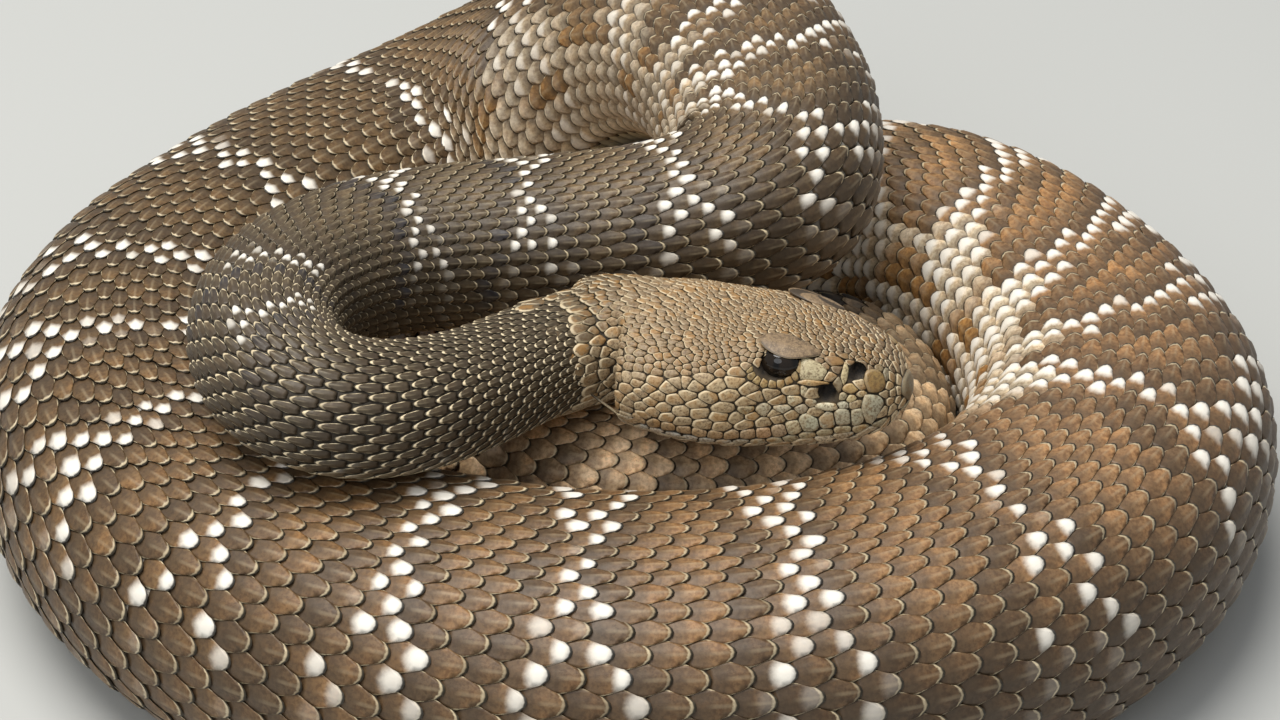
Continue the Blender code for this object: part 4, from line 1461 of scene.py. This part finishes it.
def head_coat(material):
    """The head's scales and plates, as a left and a right piece."""
    plates = Plates()
    spot, normal, index, halves, held, fixed = head_seeds(plates)
    count = len(spot)
    ahead = plates.rearward[index]
    ahead = unit(ahead - (ahead * normal).sum(1, keepdims=True) * normal)
    beside = np.cross(normal, ahead)
    own = np.sqrt(halves.prod(axis=1))
    reach = cell_reach(plates, spot, ahead, beside, halves)
    reach = reach * plates.far * (1 + 0.1 * np.cos(plates.angle))
    reach = reach - 0.035 / own[:, None] * plates.far
    along = reach * np.cos(plates.angle) * halves[:, :1]
    across = reach * np.sin(plates.angle) * halves[:, 1:]
    points = spot[:, None] + along[..., None] * ahead[:, None] + across[..., None] * beside[:, None]
    where = head.local(spot)
    normal_up = normal @ head.up
    thick = np.where(held, 0.4, 0.2 + 0.1 * np.minimum(own, 1.4))
    thick[: len(fixed)] = fixed[:, 5]
    keel = (1 - held) * ramp(normal_up, 0.2, 0.6) * (1 - ramp(where[:, 0], 14, 30)) * 0.5
    flat_points, flat_normals, _ = plates.onto(points.reshape(-1, 3))
    high = np.broadcast_to(plates.high, (count, len(plates.high)))
    lean = 0.35 * thick[:, None] * plates.far * np.cos(plates.angle) * (high > -0.5)
    lean = lean * (1 - 0.7 * held[:, None])
    ridge = np.maximum(0, 1 - np.abs(across / halves[:, 1:]) / 0.3)
    ridge = keel[:, None] * thick[:, None] * ridge
    depth = table(SKIN_DEPTH, plates.s[index])[:, None]
    height = np.where(high < -0.5, -depth - 0.15,
                      -depth + 0.1 + thick[:, None] * high + lean + ridge * (high > 0.5))
    flat_points = flat_points + height.reshape(-1, 1) * flat_normals
    flat_points = sink(flat_points, True)
    ground = plate_colour(where, normal_up)
    ground[: len(fixed)] = fixed[:, 6:9]
    ground = ground * np.exp(dice.normal(0, 0.1, count))[:, None]
    # the plates' low walls get painted shade, and their bottoms painted shadow
    low = (high < 0.5)[..., None]
    shade = np.where(high[..., None] < -0.5, np.array(GAP_SHADOW), ground[:, None])
    shade = np.where(low & (high[..., None] > -0.5), ground[:, None] * 0.45, shade)
    inside = np.broadcast_to(plates.far, high.shape)
    forward = 0.5 + 0.5 * inside * np.cos(plates.angle)
    plain = np.broadcast_to(held[:, None] * 1.0, high.shape)
    luck = np.broadcast_to(dice.random(count)[:, None], high.shape)
    sideways = inside * np.sin(plates.angle)
    flat_points = flat_points.reshape(count, -1, 3)
    solid = np.ones(count, bool)
    solid[len(fixed) - 2 * len(OPENINGS): len(fixed)] = False
    for name, side in (("head_scales_left", 1), ("head_scales_right", -1)):
        chosen = solid & ((where[:, 1] >= 0) == (side > 0))
        points = flat_points[chosen].reshape(-1, 3)
        mesh = mesh_from(name, points, *plates.repeated(chosen.sum()))
        paint(mesh, "ground", shade[chosen])
        paint(mesh, "place", np.stack([forward, inside, plain], axis=-1)[chosen])
        paint(mesh, "luck", luck[chosen])
        patches(mesh, plates.s[index[chosen]], plates.q[index[chosen]],
                (hide.start, HEAD_MAP_END), forward[chosen], sideways[chosen])
        mesh.shade_smooth()
        piece(name, mesh, material)


def head_finish():
    """Small scales of the head: fine speckles, ochre middles on the cheeks and pale rims."""
    finish = Finish("head_scale", IOR=1.45)
    ground = finish.colour("ground")
    along, inside, plain = finish.parts(finish.colour("place"))
    luck = finish.parts(finish.colour("luck"))[0]
    fine = finish.noise(2600.0, 4.0, 0.65)
    blotch = finish.noise(500.0, 3.0, 0.6)
    grain = finish.noise(8000.0, 2.0, 0.6)
    free = 1.0 - plain
    tone = finish.mix(0.7 * fine.rise(0.49, 0.6), ground, linear(92, 70, 46))
    tone = finish.mix(0.45 * (1.0 - fine.rise(0.34, 0.46)), tone, (1.4, 1.48, 1.54), "MULTIPLY")
    tone = finish.mix(0.6 * blotch.rise(0.43, 0.6) * luck, tone, linear(168, 122, 62))
    rim = (inside + (fine - 0.5) * 0.2).rise(0.66, 0.84) * along.rise(0.3, 0.65)
    tone = finish.mix(rim * (0.3 + 0.5 * luck) * (0.35 + 0.65 * free), tone, CREAM)
    # a thin line of painted shadow round each plate's edge
    tone = finish.mix(inside.rise(0.94, 0.985) * 0.85, tone, GAP_SHADOW)
    rough = 0.5 + 0.14 * (fine - 0.5) - 0.1 * plain
    return finish.done(tone, rough, grain * 0.4 + fine * 0.6, 0.35, 0.00012)


def brow_shields(material):
    """The plate over each eye, a smooth blade that stands out from the head's side."""
    form = bmesh.new()
    rims = []
    for side in (1, -1):
        frame_here = head.matrix(SHIELD_PLACE[0], side * SHIELD_PLACE[1], SHIELD_PLACE[2])
        tilt = (Matrix.Rotation(side * SHIELD_TURN, 4, "Z") @ Matrix.Rotation(SHIELD_DROOP, 4, "Y")
                @ Matrix.Rotation(-side * SHIELD_ROLL, 4, "X"))
        size = Matrix.Diagonal((*SHIELD_SIZE, 1))
        made = bmesh.ops.create_uvsphere(form, u_segments=48, v_segments=28, radius=1)["verts"]
        for vertex in made:
            x, y, z = vertex.co
            out = y * side
            rims.append((abs(z), float(z > 0), max(0, out)))
            narrow = 1 - 0.42 * ramp(x, -0.1, 1.0)
            vertex.co.y = y * float(narrow) - 0.16 * side * float(ramp(x, 0.0, 1.0))
            thin = 1 - 0.55 * ramp(out, 0.1, 1.0)
            vertex.co.z = z * float(thin) - 0.1 * float(ramp(out, 0.3, 1.0))
        bmesh.ops.transform(form, matrix=frame_here @ tilt @ size, verts=made)
    mesh = mesh_of("brow_shields", form, METRES)
    paint(mesh, "place", np.array(rims))
    mesh.shade_smooth()
    return piece("brow_shields", mesh, material)


def shield_finish():
    """The smooth horny plates over the eyes."""
    finish = Finish("brow_shield", IOR=1.46)
    fine = finish.noise(1300.0, 5.0, 0.6)
    specks = finish.noise(4200.0, 3.0, 0.6)
    edge, top, out = finish.parts(finish.colour("place"))
    base = finish.mix(fine.rise(0.38, 0.66), linear(134, 112, 86), linear(100, 82, 62))
    base = finish.mix(0.5 * specks.rise(0.52, 0.62), base, linear(168, 144, 108))
    rim = out.rise(0.1, 0.4)
    base = finish.mix((1.0 - edge.rise(0.3, 0.5)) * rim * top * 0.75, base, DARK_MARK_AND_SHADE)
    base = finish.mix((1.0 - edge.rise(0.05, 0.18)) * rim * 0.7, base, linear(180, 162, 128))
    # painted shadow on the underside of the shield, over the eye
    base = finish.mix((1.0 - top) * edge.rise(0.1, 0.3) * 0.8, base, GAP_SHADOW)
    return finish.done(base, 0.44 + 0.1 * fine, fine, 0.3, 0.0002)


def eyes():
    """Each eye: a clear wet ball, dark amber with an upright slit."""
    finish = Finish("eye_wet", Roughness=0.05, IOR=1.42)
    ground = finish.colour("ground")
    fine = finish.noise(3800.0, 4.0, 0.7)
    base = finish.mix(fine.rise(0.4, 0.7) * 0.5, ground, linear(20, 15, 12))
    finish.feed(finish.shader.inputs["Base Color"], base)
    colours = [linear(*seen) for seen in ((14, 12, 10), (34, 27, 20), (5, 5, 5))]
    for name, side in (("eye_left", 1), ("eye_right", -1)):
        out = head.half_width(EYE_STATION, EYE_HEIGHT) - EYE_SUNK + 0.4
        place = head.matrix(EYE_STATION + 0.3, side * out, EYE_HEIGHT - 0.75)
        form = bmesh.new()
        bmesh.ops.create_uvsphere(form, u_segments=64, v_segments=48, radius=1)
        bmesh.ops.scale(form, vec=EYE_SIZE, verts=form.verts)
        mesh = mesh_of(name, form)
        x, y, z = places_of(mesh).T
        slit = 1 - ramp(np.hypot(x / SLIT_SIZE[0], z / SLIT_SIZE[1]), 0.9, 1.15)
        iris = 1 - ramp(np.hypot(x, z), *IRIS_EDGE)
        colour = coloured(np.array(colours[0]), colours[1], iris)
        colour = coloured(colour, colours[2], slit * (y * side > 0))
        mesh.transform(Matrix.Diagonal((METRES, METRES, METRES, 1)) @ place)
        paint(mesh, "ground", colour)
        mesh.shade_smooth()
        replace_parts(piece(f"wet_{name}", mesh, finish.material), name)


# Along one segment of the rattle, how far out its wall stands
RATTLE_LOBE = ((0.0, 0.74), (0.06, 0.82), (0.14, 0.94), (0.26, 1.0), (0.4, 1.0), (0.5, 0.95),
               (0.56, 0.97), (0.66, 0.94), (0.76, 0.86), (0.86, 0.76))
RATTLE_SIDES = 44
RATTLE_FURROW = 0.14


def rattle():
    """Dry horn segments, each lobed and furrowed down both sides, one behind another."""
    last = len(body.centre) - 1
    axis, side, up = body.tangent[last], body.side[last], body.up[last]
    base = body.centre[last] + axis * GAP / 2
    total = RATTLE_SEGMENTS + RATTLE_END
    form = bmesh.new()
    bmesh.ops.create_circle(form, cap_ends=True, segments=RATTLE_SIDES, radius=1)
    end = form.faces[:][0]
    angles = 2 * np.pi * np.arange(RATTLE_SIDES) / RATTLE_SIDES
    number = 0
    for segment in range(RATTLE_SEGMENTS + 1):
        for along, out in RATTLE_LOBE:
            share = (segment + along) / total
            if share > 1:
                continue
            tip = math.sqrt(max(0.05, 1 - ramp(share, 0.93, 1.0)))
            high, wide = (out * tip * (base_half * (1 - share) + end_half * share)
                          for base_half, end_half in (RATTLE_HALF_HEIGHT, RATTLE_HALF_WIDTH))
            across = np.sin(angles) * (1 - RATTLE_FURROW * np.sin(angles) ** 8)
            ring = (base + axis * RATTLE_PITCH * (segment + along)
                    + across[:, None] * wide * side + np.cos(angles)[:, None] * high * up)
            if number:
                grown = bmesh.ops.extrude_face_region(form, geom=[end])
                if number > 1:
                    bmesh.ops.delete(form, geom=[end], context="FACES_ONLY")
                end = next(i for i in grown["geom"] if isinstance(i, bmesh.types.BMFace))
            for vertex, place in zip(end.verts, ring):
                vertex.co = place
            number += 1
    mesh = mesh_of("rattle", form, METRES)
    mesh.shade_smooth()
    finish = Finish("dry_horn", IOR=1.5)
    fine = finish.noise(900.0, 5.0, 0.6)
    scratch = finish.noise(4000.0, 3.0, 0.6, (1.0, 1.0, 0.2))
    tone = finish.mix(fine.rise(0.35, 0.68), linear(176, 152, 112), linear(104, 82, 56))
    finish.done(tone, 0.4 + 0.15 * fine, scratch, 0.3, 0.0002)
    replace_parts(piece("rattle_horn", mesh, finish.material), "rattle")


skin = piece("skin", skin_mesh(), skin_finish())
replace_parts(skin, *FLESH)
head_coat(head_finish())
brow_shields(shield_finish())
eyes()
rattle()


# The camera stands where the photograph's did, over a plain floor. Sizes here are in millimetres
CAMERA_AWAY = 520.0
CAMERA_RISE = math.radians(36.0)
CAMERA_LENS = 90.0
LOOK_HEIGHT = 20.0
FLOOR_REACH = 3000.0
FLOOR_COLOUR = linear(183, 184, 181)
SKY_COLOUR = (0.93, 0.96, 1.0, 1)
SKY_STRENGTH = 0.4
# Each lamp's width in metres, power in watts, place in metres and colour
LAMPS = (
    ("key", 0.7, 12.5, (-0.22, -0.02, 1.05), (1.0, 0.975, 0.93)),
    ("fill", 0.8, 4.0, (-0.45, -0.85, 0.9), (0.95, 0.97, 1.0)),
)
LAMP_AIM = (0, 0, 0.02)


def camera():
    sight = bpy.data.cameras.new("camera")
    sight.lens = CAMERA_LENS
    sight.sensor_width = 36.0
    sight.clip_start = 0.01
    made = placed("camera", sight)
    look = np.array([-body.middle[0], -body.middle[1], LOOK_HEIGHT])
    ahead = np.array([0, math.cos(CAMERA_RISE), -math.sin(CAMERA_RISE)])
    made.location = (look - ahead * CAMERA_AWAY) * METRES
    made.rotation_euler = (math.pi / 2 - CAMERA_RISE, 0, 0)
    bpy.context.scene.camera = made


def stage():
    form = bmesh.new()
    bmesh.ops.create_grid(form, x_segments=1, y_segments=1, size=FLOOR_REACH * METRES)
    floor = placed("floor", mesh_of("floor", form))
    paper = Finish("floor_paper", Base_Color=(*FLOOR_COLOUR, 1), Roughness=0.85)
    floor.data.materials.append(paper.material)
    world = bpy.data.worlds.new("studio")
    world.use_nodes = True
    sky = world.node_tree.nodes["Background"]
    sky.inputs["Color"].default_value = SKY_COLOUR
    sky.inputs["Strength"].default_value = SKY_STRENGTH
    bpy.context.scene.world = world
    for name, size, power, place, colour in LAMPS:
        light = bpy.data.lights.new(name, "AREA")
        light.shape = "DISK"
        light.size = size
        light.energy = power
        light.color = colour
        made = placed(name, light)
        made.location = place
        aim = Vector(LAMP_AIM) - Vector(place)
        made.rotation_euler = aim.to_track_quat("-Z", "Y").to_euler()


camera()
stage()
bpy.context.scene.view_settings.view_transform = "Standard"
